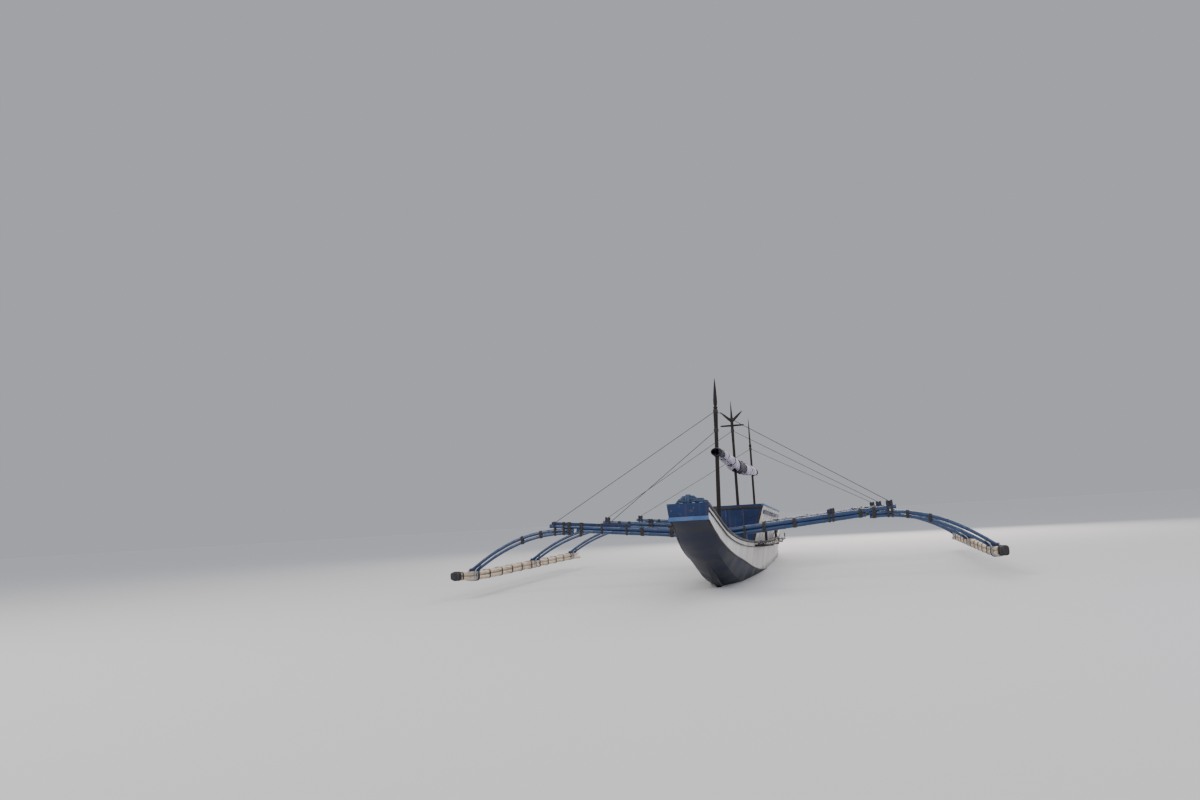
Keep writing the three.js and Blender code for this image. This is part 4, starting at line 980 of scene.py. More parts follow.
# %% Masts
MAST_TOP = 3.900
MASTS = {
    "1": {"y": -3.970, "foot": None, "foot_radius": 0.042, "head_radius": 0.035, "lean": radians(2.1)},
    "2": {"y": 0.220, "foot": 0.1603, "foot_radius": 0.037, "head_radius": 0.029, "lean": 0.0},
    "3": {"y": 5.160, "foot": 0.1603, "foot_radius": 0.036, "head_radius": 0.027, "lean": 0.0},
}
OVER_DECK = 0.012
MASTS["1"]["foot"] = point_at(deck_line, MASTS["1"]["y"]).z + OVER_DECK
HEADS = {
    "1": [
        (0.640, 0.044), (0.618, 0.046), (0.606, 0.030), (0.588, 0.030), (0.578, 0.042), (0.556, 0.042),
        (0.546, 0.029), (0.528, 0.029), (0.505, 0.036), (0.440, 0.038), (0.320, 0.032), (0.200, 0.024),
        (0.070, 0.011), (0.0, 0.003),
    ],
    "2": [(0.500, 0.034), (0.440, 0.030), (0.300, 0.021), (0.120, 0.010), (0.0, 0.003)],
    "3": [
        (0.800, 0.027), (0.780, 0.038), (0.745, 0.038), (0.725, 0.024), (0.500, 0.021), (0.300, 0.017),
        (0.120, 0.009), (0.0, 0.003),
    ],
}
SHAFT_END, SHAFT_STEPS = 2.9, 6
TINY = 0.002
HEEL = {"size": 0.170, "height": 0.070, "sunk": {"1": 0.024, "2": 0.0, "3": 0.0}}
CROWN = {"below": 0.485, "bar_drop": 0.095}
SPIKE = [(0.0, 0.033), (0.3, 0.031), (0.7, 0.022), (1.0, 0.005)]
SPIKE_TIP = Vector((0.255, 0, 0.235))
CROSSBAR = [(0.0, 0.022), (0.9, 0.019), (1.0, 0.012)]
CROSSBAR_TIP = Vector((0.270, 0, 0))


def mast_point(name, height):
    """A point on a mast's axis at a height above the water."""
    mast = MASTS[name]
    return Vector(((height - mast["foot"]) * tan(mast["lean"]), mast["y"], height))


def mast_radius(name, height):
    """A mast's radius at a height below its head."""
    mast = MASTS[name]
    share = (height - mast["foot"]) / (MAST_TOP - HEADS[name][0][0] - mast["foot"])
    return mast["foot_radius"] + (mast["head_radius"] - mast["foot_radius"]) * share


for name, mast in MASTS.items():
    shape = new_shape()
    heights = evenly(mast["foot"] + TINY, SHAFT_END + TINY, SHAFT_STEPS)
    stops = [(height, mast_radius(name, height)) for height in heights]
    (neck, neck_radius), *head = HEADS[name]
    stops += [(MAST_TOP - neck - TINY, neck_radius)] + [(MAST_TOP - below, radius) for below, radius in head]
    sweep(shape, [mast_point(name, height) for height, _ in stops], [radius for _, radius in stops], 32)
    if name == "2":
        crotch = mast_point(name, MAST_TOP - CROWN["below"])
        for side in (1, -1):
            spread = Matrix.Diagonal((side, 1, 1))
            for root, tip, profile in (
                (crotch, SPIKE_TIP, SPIKE), (crotch - UP * CROWN["bar_drop"], CROSSBAR_TIP, CROSSBAR),
            ):
                points = [root + spread @ tip * share for share, _ in profile]
                sweep(shape, points, [radius for _, radius in profile], 16)
    sunk = HEEL["sunk"][name]
    foot = mast_point(name, mast["foot"] + (HEEL["height"] - sunk) / 2)
    block(shape, foot, (HEEL["size"], HEEL["size"], HEEL["height"] + sunk), edge=0.008)
    piece(f"mast_{name}_spar", shape, mast_wood, instead_of=f"mast_{name}")

# %% [markdown]
# Rolled awning
# The awning is a long sheet of sewn panels that lies over the masts' line like a tent. To stow it, both its
# sides are rolled up to the middle, so it makes a double roll with the masts between the halves. The cloth
# is one true spiral from the core of one roll, over the top, to the core of the other. Each ring of points
# is set by the bundle's width and height there: pinched at each tie, fuller between, and baggy aft, where it
# was rolled in a hurry. Slow waves along and around give slack folds. The flat UV map holds each point's
# place on the unrolled cloth, in metres.

# %% Awning shape
ROLL_MEASURES = ("y", "middle", "half_width", "half_height", "height")
ROLL_SECTIONS = [dict(zip(ROLL_MEASURES, row)) for row in (
    (-4.130, 0.058, 0.078, 0.055, 2.485), (-4.040, 0.062, 0.100, 0.074, 2.483),
    (-2.900, 0.052, 0.118, 0.078, 2.475), (-1.600, 0.030, 0.128, 0.090, 2.450),
    (-0.500, 0.010, 0.136, 0.118, 2.412), (0.600, 0.000, 0.138, 0.130, 2.392),
    (2.700, 0.008, 0.138, 0.130, 2.386), (4.400, 0.026, 0.126, 0.112, 2.408),
    (5.380, 0.034, 0.106, 0.096, 2.400), (5.500, 0.034, 0.084, 0.074, 2.398),
)]
ROLL_FRONT, ROLL_REAR = ROLL_SECTIONS[0]["y"], ROLL_SECTIONS[-1]["y"]
MAST_TIES = [(MASTS["1"]["y"], 0.9), (MASTS["2"]["y"], 1.0), (MASTS["3"]["y"], 0.9)]
PLAIN_TIES = [(-2.65, 0.7), (-1.15, 0.8), (1.75, 0.8), (3.40, 0.9)]
TIE_REACH = 0.24
PINCH = {"half_width": 0.14, "half_height": 0.17, "folds": 0.7}
FULLER = 1.03
ROLL_TURNS = 4
ROLL_STEPS = 20 * ROLL_TURNS
STEPS_OVER = 4
ROLL_RINGS = 190
ROLL_CORE = 0.2
TIGHTER_OUTWARD = 0.9
OVERLAP = 0.96
BELLY = 1.05
DIP = 0.022
CREEP = [(0.020, 11, 1), (0.012, 29, 2)]
MAST_CLEAR = 0.003
WAVES = [
    {"round": turns, "length": random.uniform(0.35, 1.5), "phase": random.uniform(0, 6), "size": size}
    for turns, size in ((1, 0.008), (2, 0.006), (1, 0.005), (3, 0.004), (2, 0.004), (5, 0.003))
]


def bundle(y):
    """The awning bundle's measures at a distance along the boat, ties included."""
    y = min(max(y, ROLL_FRONT), ROLL_REAR)
    before, after = next(pair for pair in zip(ROLL_SECTIONS, ROLL_SECTIONS[1:]) if y <= pair[1]["y"])
    share = (y - before["y"]) / (after["y"] - before["y"])
    ease = share * share * (3 - 2 * share)
    measures = {key: before[key] + (after[key] - before[key]) * ease for key in before}
    ties = MAST_TIES + PLAIN_TIES
    squeeze = max(tight * max(0.0, 1 - abs(y - tie) / TIE_REACH) ** 2 for tie, tight in ties)
    for key in ("half_width", "half_height"):
        measures[key] *= FULLER - PINCH[key] * squeeze
    measures["squeeze"] = squeeze
    return measures


def clear_of_masts(co, side):
    """The point moved sideways out of any mast that it would lie in."""
    for name in MASTS:
        axis = mast_point(name, co.z)
        reach = mast_radius(name, co.z) + MAST_CLEAR
        if abs(co.y - axis.y) < reach:
            limit = (reach ** 2 - (co.y - axis.y) ** 2) ** 0.5
            if side * (co.x - axis.x) < limit:
                co.x = axis.x + side * limit
    return co


def cloth_point(y, side, angle, share):
    """A point of one half of the double roll. share is 0 at its core and 1 on its outside."""
    measures = bundle(y)
    factor = ROLL_CORE + (1 - ROLL_CORE) * share ** TIGHTER_OUTWARD
    fold = sum(
        wave["size"] * sin(wave["round"] * angle + 2 * pi * y / wave["length"] + wave["phase"] + side)
        for wave in WAVES
    )
    fold *= share * (1 - PINCH["folds"] * measures["squeeze"])
    across = measures["half_width"] / 2
    centre = measures["middle"] + side * across * OVERLAP
    x = centre + side * cos(angle) * (across * factor + fold)
    rise = sin(angle) * (measures["half_height"] * factor + fold) * (1.0 if sin(angle) > 0 else BELLY)
    return clear_of_masts(Vector((x, y, measures["height"] + rise)), side)


def half_ring(share, side):
    """One half of a ring of the sheet, from the core of its roll to the outside."""
    points = []
    for layer in evenly(0.0, 1.0, ROLL_STEPS):
        angle = pi / 2 + 2 * pi * ROLL_TURNS * (1 - layer)
        creep = sum(size * sin(layer * speed + shift * side) for size, speed, shift in CREEP)
        y = ROLL_FRONT + (ROLL_REAR - ROLL_FRONT) * share + creep * (1 - 2 * share)
        points.append(cloth_point(y, side, angle, layer))
    return points


def awning_ring(share):
    """One ring of the sheet, from the core of the starboard roll to the core of the port one."""
    starboard, port = half_ring(share, -1), half_ring(share, 1)
    over = []
    for step in evenly(0.0, 1.0, STEPS_OVER + 1)[1:-1]:
        over.append(starboard[-1].lerp(port[-1], step) - UP * DIP * sin(pi * step))
    return starboard + over + port[::-1]


# %% Awning
rings = [awning_ring(share) for share in evenly(0.0, 1.0, ROLL_RINGS)]
columns = len(rings[0])
flat_places = []
for ring in rings:
    middle = columns // 2
    lengths = lengths_along(ring)
    flat_places.append([(length - lengths[middle], ring[middle].y) for length in lengths])
shape = bmesh.new()
flat = shape.loops.layers.uv.new("flat")
verts = [[shape.verts.new(co) for co in ring] for ring in rings]
for i in range(ROLL_RINGS):
    for j in range(columns - 1):
        corners = ((i, j), (i, j + 1), (i + 1, j + 1), (i + 1, j))
        face = shape.faces.new([verts[row][column] for row, column in corners])
        for loop, (row, column) in zip(face.loops, corners):
            loop[flat].uv = flat_places[row][column]
awning = piece("awning_cloth_roll", shape, awning_cloth, instead_of="awning_roll")

# %% [markdown]
# Lashings of the outriggers
# The booms, arms and floats are held together by cord alone. Round parallel poles the turns lie flat
# side by side. Where a pole crosses the float, the turns go under the bundle, up beside the pole, over it
# and down again, so each of them is a closed loop bent in space.

# %% Outrigger lashings
BOOM_TIES = [0.86, 1.42, 2.60, 2.84]
ARM_TIES = [3.42, 3.80]
KEEL_TIE = 0.07


def ring_path(points, steps):
    """A smooth closed path through a few points, as a closed Catmull-Rom curve."""
    path = []
    total = len(points)
    for i in range(total):
        a, b, c, d = (points[(i + k) % total] for k in (-1, 0, 1, 2))
        square, cube = 2 * a - 5 * b + 4 * c - d, 3 * b - a - 3 * c + d
        for step in range(steps):
            t = step / steps
            path.append(0.5 * (2 * b + (c - a) * t + square * t ** 2 + cube * t ** 3))
    return path


def crossing(route, span):
    """The point where a route from the hull outward passes a distance from the centre line."""
    for before, after in zip(route, route[1:]):
        if abs(before.x) <= span <= abs(after.x):
            return before.lerp(after, (span - abs(before.x)) / (abs(after.x) - abs(before.x)))
    return route[-1].copy()


def arm_circles(name, side, span):
    """An arm's two poles at a distance from the centre line, as circles for a lashing."""
    return [(crossing(arm_route(name, side, pole), span), pole["radius"]) for pole in (OUTER, INNER)]


def boom_group(name, side, span):
    """What a lashing round a boom goes round at a distance from the centre line."""
    y = BOOM_Y[name]
    group = [boom_pole(y, side * span, pole) for pole in (UPPER, LOWER) if span < pole["end"]]
    if span > ARM["root"]:
        group += arm_circles(name, side, span)
    for top in on_top(name, side)["tops"]:
        if abs(span - top["span"]) < top["length"] / 2:
            corner = boom_point(y, side * span, UPPER["offset"] + UPPER["radius"] + top["height"])
            group += [(corner + NORTH * edge * TOP_WIDTH / 2, CORNER) for edge in (-1, 1)]
    return group


for name in BOOM_Y:
    for side_name, side in SIDES:
        shape = new_shape()
        ties = [(span, 4) for span in on_top(name, side)["ties"]] + [(span, 7) for span in BOOM_TIES]
        for span, turns in ties:
            lash(shape, boom_group(name, side, span), turns, NORTH, boom_up(side))
        for span in ARM_TIES:
            group = arm_circles(name, side, span)
            slope = (arm_circles(name, side, span + 0.05)[0][0] - group[0][0]).normalized()
            lash(shape, group, 6, NORTH, slope.cross(NORTH) * side)
        lash(shape, boom_group(name, side, KEEL_TIE), 9, NORTH, boom_up(side))
        piece(f"boom_lashings_{name}_{side_name}", shape, dark_rope)

# %% [markdown]
# Feet and float ties
# A square lashing holds each arm down on its float. Between the arms plain turns keep the culms together, and
# a boot of black inner-tube rubber covers their front ends as painted shade, bound on with strips of the same
# rubber.

# %% Float lashings
FOOT = {"turns": 5, "half": 0.052, "over_half": 0.025, "inside": 0.155, "outside": 0.012, "spread": 0.004}
TURN_PITCH = 2.1
FLOAT_TIE = {"from_front": 0.34, "from_rear": 0.35, "every": 0.84, "unevenness": 0.05, "off_boom": 0.2}
SHADE_BOOT_WALL = 0.006
SHADE_BOOT_RINGS = [
    (-0.010, -0.016), (-0.009, -0.008), (-0.002, 0.002), (0.012, SHADE_BOOT_WALL), (0.06, 0.005),
    (0.12, SHADE_BOOT_WALL), (0.215, SHADE_BOOT_WALL), (0.22, 0.001),
]
RUBBER_STRIPS = [FLOAT_FRONT + 0.17, BOOM_Y["1"] + 0.16]


def foot_turn(name, side, turn):
    """One turn of the square lashing that holds an arm down on its float."""
    y = BOOM_Y[name]
    middle = float_middle(y, side)
    shift = turn * TURN_PITCH * CORD
    low = BUNDLE_HALF + CORD
    inner_span = abs(middle.x) - FOOT["inside"] - shift
    inner_top = crossing(arm_route(name, side, INNER), inner_span).z + INNER["radius"] * 1.25 + CORD
    outer_span = abs(middle.x) + FOOT["outside"] + turn * FOOT["spread"]
    outer_top = arm_route(name, side, OUTER)[-1].z + OUTER["radius"] + CORD
    row = [
        (low * 0.55, middle.z + 0.07), (low * 1.02, middle.z + 0.02), (low * 0.92, middle.z - low * 0.72),
        (low * 0.4, middle.z - low), (-low * 0.4, middle.z - low), (-low * 0.92, middle.z - low * 0.72),
        (-low * 1.03, middle.z + 0.03), (-low * 1.2, (middle.z + inner_top) / 2 + 0.01),
    ]
    points = []
    for end, part, span, top in ((1, row, inner_span, inner_top), (-1, row[::-1], outer_span, outer_top)):
        along = y + end * (FOOT["half"] + shift)
        points += [Vector((middle.x + side * across, along, height)) for across, height in part]
        over = end * FOOT["over_half"]
        points += [Vector((side * span, y + half, top)) for half in (over, -over)]
    return ring_path(points, 4)


for side_name, side in SIDES:
    shape = new_shape()
    for name in BOOM_Y:
        for turn in range(FOOT["turns"]):
            rope_turn(shape, foot_turn(name, side, turn), CORD)
    piece(f"foot_lashings_{side_name}", shape, nylon_rope)

    shape = new_shape()
    y = FLOAT_FRONT + FLOAT_TIE["from_front"]
    while y < FLOAT_REAR - FLOAT_TIE["from_rear"]:
        if min(abs(y - boom_y) for boom_y in BOOM_Y.values()) > FLOAT_TIE["off_boom"]:
            lash(shape, culm_circles(y, side), 6)
        y += FLOAT_TIE["every"] + random.uniform(-1, 1) * FLOAT_TIE["unevenness"]
    piece(f"float_ties_{side_name}", shape, dark_rope)

    shape = new_shape()
    for y in RUBBER_STRIPS:
        lash(shape, culm_circles(y, side, SHADE_BOOT_WALL / 2), 5, radius=0.009, pitch=1.5)
    # Painted shade: the black boot darkens the floats' front ends, as shade on their end faces would.
    join_in(shape, lofted([
        around(culm_circles(FLOAT_FRONT + distance, side, clearance), EAST, UP, 0.0, 32)
        for distance, clearance in SHADE_BOOT_RINGS
    ]))
    piece(f"rubber_ties_and_shade_boot_{side_name}", shape, tube_rubber)

# %% [markdown]
# Ties of the awning and hitches of the stays
# At each mast the bundle is held by turns that cross on its sides, and between the masts by plain turns.
# A leaning turn moves along the boat as it rises, by the tangent of its lean. Its neighbours lie further
# apart along the boat than upright turns do, by the cosine of the lean.

# %% Awning ties and stay hitches
AWNING_CORD = 0.006
MAST_TIE_LEAN = radians(38)
END_TIES = [ROLL_FRONT + 0.045, ROLL_REAR - 0.05]
CLOTH_SWELL = 1.02
STAY_HEIGHTS = {"1": [3.270, 2.900], "2": [3.200], "3": [3.050]}


def bundle_loop(y, lean, count=36):
    """A closed turn round the awning bundle in a plane that leans along the boat."""
    points = []
    for i in range(count):
        angle = 2 * pi * i / count
        shift = sin(angle) * tan(lean) * bundle(y)["half_height"]
        here = bundle(y + shift)
        across, up = (here[key] * CLOTH_SWELL + AWNING_CORD * 0.7 for key in ("half_width", "half_height"))
        place = (here["middle"] + cos(angle) * across, y + shift, here["height"] + sin(angle) * up)
        points.append(Vector(place))
    return points


def bundle_ties(shape, y, lean=0.0, turns=4):
    """Turns round the awning bundle, side by side."""
    for i in range(turns):
        place = y + TURN_PITCH * AWNING_CORD * (i - (turns - 1) / 2) / cos(lean)
        rope_turn(shape, bundle_loop(place, lean), AWNING_CORD)


shape = new_shape()
for y, _ in MAST_TIES:
    for lean in (MAST_TIE_LEAN, -MAST_TIE_LEAN):
        bundle_ties(shape, y, lean)
for y, _ in PLAIN_TIES:
    bundle_ties(shape, y)
for y in END_TIES:
    bundle_ties(shape, y, turns=3)
piece("awning_ties", shape, dark_rope)

shape = new_shape()
for name, heights in STAY_HEIGHTS.items():
    for height in heights:
        lash(shape, [(mast_point(name, height), mast_radius(name, height))], 5, EAST, NORTH, AWNING_CORD)
piece("stay_hitches", shape, dark_rope)

# %% [markdown]
# Boards and strakes
# A board is a cube whose eight corners are moved to where the board's corners are, and its edges are
# rounded after that. The deckhouse walls flare outward as they rise, so the boards on them get their
# corners from the same slope. The rub strakes are round bars half sunk in the planks, swept along lines
# measured from them.

# %% Board helpers
HOUSE = {"foot_beam": 0.370, "foot": 0.595, "top_beam": 0.635, "front_top": 1.440, "rear_top": 1.260}
HOUSE_FRONT, HOUSE_REAR = -0.700, 6.300
PANEL_FACE = -0.7283
THICKNESS = 0.012
BATTEN = {"inner": 0.008, "outer": 0.0185, "share": 0.52, "width": 0.049, "shortest": 0.02, "off_boom": 0.07}
BAND = {"inner": 0.0153, "below_rail": 0.085, "width": 0.085, "starts": [-0.4, 1.9, 4.1], "gap": 0.002}
REAR_POST = {"inner": 0.0005, "ends": (HOUSE_REAR - 0.055, HOUSE_REAR + 0.027), "over_foot": 0.03}
EDGING = 0.048
COPING = {"low": HOUSE["front_top"] - 0.052, "height": 0.058}
FRONT_BATTENS = {"places": (-0.19, 0.19), "half": 0.02}


def board(shape, corner, edge=0.003):
    """A board. corner(x, y, z) gives the corner for each choice of -1 or 1 in the three directions."""
    part = new_shape()
    for vert in bmesh.ops.create_cube(part, size=2.0)["verts"]:
        vert.co = corner(*[round(value) for value in vert.co])
    bmesh.ops.recalc_face_normals(part, faces=part.faces)
    bmesh.ops.bevel(part, geom=part.edges[:], offset=edge, **EDGE_CUT)
    join_in(shape, part)


def house_beam(height):
    """Half the deckhouse's width at a height, on the outer face of its walls."""
    slope = (HOUSE["top_beam"] - HOUSE["foot_beam"]) / (HOUSE["front_top"] - HOUSE["foot"])
    return HOUSE["foot_beam"] + slope * (height - HOUSE["foot"])


def house_top(y):
    """The height of the deckhouse's walls at a distance along the boat."""
    share = (y - HOUSE_FRONT) / (HOUSE_REAR - HOUSE_FRONT)
    return HOUSE["front_top"] + (HOUSE["rear_top"] - HOUSE["front_top"]) * share


def wall_board(shape, side, ends, inner, outer, edge=0.003):
    """A board that leans with a wall. Each of its two ends is a place, a lower and an upper height."""
    def corner(x, y, z):
        place, low, high = ends[0 if y < 0 else 1]
        height = high if z > 0 else low
        return Vector((side * (house_beam(height) + (outer if x > 0 else inner)), place, height))
    board(shape, corner, edge)


def panel_board(shape, left, right, low, high):
    """A board on the front panel. left and right are functions that give its sides at a height."""
    def corner(x, y, z):
        height = high if z > 0 else low
        across = right(height) if x > 0 else left(height)
        return Vector((across, PANEL_FACE - (THICKNESS if y < 0 else 0.0), height))
    board(shape, corner)


def band_edges(y):
    """The lower and the upper edge of the blue band on a wall."""
    top = house_top(y) - BAND["below_rail"]
    return top - BAND["width"], top


# %% Boards on the deckhouse
band_shape = new_shape()
strip_shape = new_shape()
for side_name, side in SIDES:
    wall_foot = [
        point for point in line_of(f"deckhouse_wall_{side_name}", lambda co: -co.z)
        if point.z < HOUSE["foot"] + 0.1
    ]
    for first, last in zip(BAND["starts"], BAND["starts"][1:] + [HOUSE_REAR]):
        ends = [(y, *band_edges(y)) for y in (first + BAND["gap"], last)]
        wall_board(band_shape, side, ends, BAND["inner"], BAND["inner"] + THICKNESS)
    ends = [
        (y, point_at(wall_foot, y).z + REAR_POST["over_foot"], band_edges(y)[0] - BAND["gap"])
        for y in REAR_POST["ends"]
    ]
    wall_board(band_shape, side, ends, REAR_POST["inner"], REAR_POST["inner"] + THICKNESS)
    for pair in zip(wall_foot, wall_foot[1:]):
        ends = []
        for foot in pair:
            middle = foot.z + (house_top(foot.y) - foot.z) * BATTEN["share"]
            ends.append((foot.y, middle - BATTEN["width"] / 2, middle + BATTEN["width"] / 2))
        start, end = pair[0].y, pair[1].y
        at_boom = any(abs((start + end) / 2 - BOOM_Y[name]) < BATTEN["off_boom"] for name in ("2", "3"))
        if end - start > BATTEN["shortest"] and not at_boom:
            wall_board(strip_shape, side, ends, BATTEN["inner"], BATTEN["outer"], 0.002)
piece("deckhouse_bands", band_shape, blue_enamel)
piece("deckhouse_strips", strip_shape, black_enamel)

# %% Boards on the front panel
house_foot = min(vertex.co.z for vertex in NODES["deckhouse_front"].data.vertices) + 0.004
coping = COPING["low"]
shape = new_shape()
panel_board(shape, lambda z: house_beam(z) - EDGING, house_beam, house_foot, coping - 0.002)
panel_board(shape, lambda z: -house_beam(z), lambda z: EDGING - house_beam(z), house_foot, coping - 0.002)
panel_board(
    shape, lambda z: -house_beam(coping), lambda z: house_beam(coping), coping, coping + COPING["height"],
)
piece("deckhouse_front_edging", shape, black_enamel)
shape = new_shape()
for middle in FRONT_BATTENS["places"]:
    sides = [lambda z, x=middle + end * FRONT_BATTENS["half"]: x for end in (-1, 1)]
    panel_board(shape, *sides, house_foot, coping - 0.002)
piece("deckhouse_front_battens", shape, blue_enamel)

# %% Rub strakes
RUB_STRAKE = 0.016
ON_CHINE = Vector((0.002, 0, 0.004))
UNDER_SHEER = Vector((-0.022, 0, -0.115))

shape = new_shape()
for side_name, side in SIDES:
    mirror = Matrix.Diagonal((side, 1, 1))
    sweep(shape, [point + mirror @ ON_CHINE for point in chine[side_name]], RUB_STRAKE, 10)
    sweep(shape, [point + mirror @ UNDER_SHEER for point in gunwale_top[side_name]], RUB_STRAKE * 0.7, 8)
piece("rub_strakes", shape, black_enamel)

# %% [markdown]
# Toe of the keel
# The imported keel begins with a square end. On the boat a shipwright planes its toe away into the hull, so
# that nothing catches under the bow. The toe is a wedge that follows the hull's lowest line.

# %% Keel toe
TOE = {
    "length": 0.55, "half_width": 0.045, "thin": 0.002, "tip_share": 0.45, "let_in": 0.001, "off_end": 0.02,
}

keel_foot = line_of("keel", lambda co: -co.z)[0]
keel_head = line_of("keel", lambda co: co.z)[0]
hull_bottom = line_of("lower_hull", lambda co: -co.z)
tip, heel = keel_foot.y - TOE["length"], keel_foot.y + TOE["let_in"]
between = [point.y for point in hull_bottom if tip + TOE["off_end"] < point.y < heel - TOE["off_end"]]
rings = []
for y in [tip, *between, heel]:
    share = (y - tip) / TOE["length"]
    half = TOE["half_width"] * (TOE["tip_share"] + (1.0 - TOE["tip_share"]) * share)
    top = point_at(hull_bottom, y).z + TOE["let_in"]
    low = top - TOE["thin"] - (keel_head.z - keel_foot.z) * share
    rings.append([Vector((x, y, z)) for x, z in ((-half, top), (half, top), (half, low), (-half, low))])
shape = new_shape()
join_in(shape, lofted(rings))
soften(piece("keel_toe", shape, navy_enamel, smooth=False))

# %% [markdown]
# Rope on the bitt
# Spare rope makes the lump over the bow that the boat shows from ahead. It is coiled flat on the bitt, in
# five layers of oval turns that get shorter upward, and seized to the bar. Its ends sag beyond the posts.
# More turns go round the posts under the bar, and a small hank hangs on the bar's starboard end.

# %% Bitt rope
BITT = {"y": -7.570, "post": 0.095, "half_post": 0.031, "bar_foot": 1.4473, "half_bar": 0.0275, "top": 1.5198}
BITT_ROPE = 0.0115
COIL_FOOT = BITT["top"] + BITT_ROPE
COIL_STEP = 1.75 * BITT_ROPE
COIL_LAYERS = [
    {"middle": 0.020, "turns": [(0.255, 0.104), (0.232, 0.082), (0.209, 0.060), (0.186, 0.038)]},
    {"middle": 0.024, "turns": [(0.240, 0.100), (0.217, 0.078), (0.194, 0.056)]},
    {"middle": 0.004, "turns": [(0.196, 0.092), (0.173, 0.070), (0.150, 0.048)]},
    {"middle": -0.030, "turns": [(0.115, 0.081), (0.092, 0.060), (0.069, 0.039)]},
    {"middle": -0.036, "turns": [(0.092, 0.068), (0.069, 0.047), (0.046, 0.026)]},
]
SAG = {"from": 0.13, "share": 1.5}
SEIZING = (-0.058, -0.035, -0.012)
POST_TURNS = {"count": 5, "foot": 1.342, "pitch": 2.02 * BITT_ROPE}
HANK = {
    "middle": Vector((-0.193, BITT["y"], 1.425)), "along": Vector((-0.42, 0, 0.91)).normalized(),
    "lengths": (0.068, 0.073, 0.064, 0.070, 0.066), "width": 0.040, "pitch": 1.9 * BITT_ROPE,
}
SHIFT = 0.004
UNEVENNESS = 0.0025
SQUARED = 0.8


def oval(middle, long_way, short_way, half_long, half_short, count=28):
    """A closed oval with nearly straight sides and a little unevenness, as a hand-laid turn has."""
    points = []
    lift = long_way.cross(short_way)
    phase = random.uniform(0, 2 * pi)
    for i in range(count):
        angle = 2 * pi * i / count
        along = copysign(abs(cos(angle)) ** SQUARED, cos(angle)) * half_long
        across = copysign(abs(sin(angle)) ** SQUARED, sin(angle)) * half_short
        unevenness = lift * UNEVENNESS * sin(3 * angle + phase)
        points.append(middle + long_way * along + short_way * across + unevenness)
    return points


shape = new_shape()
for layer, coil in enumerate(COIL_LAYERS):
    for half_long, half_short in coil["turns"]:
        shift = random.uniform(-SHIFT, SHIFT)
        middle = Vector((coil["middle"] + shift, BITT["y"], COIL_FOOT + layer * COIL_STEP))
        turn = oval(middle, EAST, NORTH, half_long, half_short)
        for point in turn:
            point.z -= SAG["share"] * max(0.0, abs(point.x) - SAG["from"]) ** 2
        rope_turn(shape, turn, BITT_ROPE, 8)
for x in SEIZING:
    bound = [(BITT["half_bar"], BITT["bar_foot"], CORNER)]
    for layer, coil in enumerate(COIL_LAYERS):
        bound.append((coil["turns"][0][1], COIL_FOOT + layer * COIL_STEP, BITT_ROPE))
    circles = [
        (Vector((x, BITT["y"] + side * half, height)), radius)
        for half, height, radius in bound for side in (-1, 1)
    ]
    rope_turn(shape, around(circles, NORTH, UP, BITT_ROPE, 28), BITT_ROPE, 8)
for row in range(POST_TURNS["count"]):
    height = POST_TURNS["foot"] + row * POST_TURNS["pitch"]
    for post in (-1, 1):
        middle = Vector((post * BITT["post"], BITT["y"], height))
        corners = [
            (middle + (EAST * a + NORTH * b) * BITT["half_post"], CORNER) for a in (-1, 1) for b in (-1, 1)
        ]
        if height - BITT_ROPE > point_at(deck_line, BITT["y"]).z:
            rope_turn(shape, around(corners, EAST, NORTH, BITT_ROPE, 24), BITT_ROPE, 8)
for i, half in enumerate(HANK["lengths"]):
    middle = HANK["middle"] + NORTH * (i - 2) * HANK["pitch"] + EAST * random.uniform(-SHIFT, SHIFT)
    turn = oval(middle, HANK["along"], HANK["along"].cross(NORTH), half, HANK["width"])
    rope_turn(shape, turn, BITT_ROPE, 8)
piece("bitt_rope", shape, laid_rope)

# %% [markdown]
# Hinges and handle of the engine box
# The lid opens about its front edge on two strap hinges. Each has a long leaf on the lid, a short one down
# the box and a pin between them, so the first belongs to the lid's body and the others to the hull. The pin
# sits just under the edge, where the lid's leaf swings past it. A bent rod at the rear is the handle.

# %% Lid hardware
LID = {"hinge_y": 2.435, "hinge_z": 0.7606, "top": 0.7846, "box_face": 2.450}
LEAF = {"places": (-0.21, 0.21), "width": 0.042, "thickness": 0.003, "on_lid": 0.19, "on_box": 0.085}
LID_RIVETS = (0.04, 0.10, 0.16)
BOX_RIVETS = (0.03, 0.065)
BEND = {"raised": 0.003, "height": 0.026}
BOX_LEAF = {"off_face": 0.0003, "drop": 0.004}
PIN = {"radius": 0.004, "drop": 0.0085, "ahead": 0.002, "half_share": 0.62}
PIN_ARM = {"ahead": 0.004, "width_share": 0.3, "length": 0.022, "thickness": 0.003}
HANDLE = {
    "half": 0.085, "height": 0.040, "bend": 0.018, "cut": 0.3, "y": 3.585, "radius": 0.006, "sunk": 0.004,
}
THIN_EDGE = 0.001


def rivet(shape, centre, out, radius=0.006):
    """A round fastener's head: the upper half of a flattened ball."""
    part = new_shape()
    bmesh.ops.create_uvsphere(part, u_segments=10, v_segments=6, radius=radius)
    low = [vert for vert in part.verts if vert.co.z < -0.2 * radius]
    bmesh.ops.delete(part, geom=low, context="VERTS")
    bmesh.ops.edgeloop_fill(part, edges=[edge for edge in part.edges if edge.is_boundary])
    turn = out.to_track_quat("Z", "Y").to_matrix().to_4x4()
    place = Matrix.Translation(centre) @ turn @ Matrix.Diagonal((1, 1, 0.6, 1))
    bmesh.ops.transform(part, matrix=place, verts=part.verts)
    join_in(shape, part)


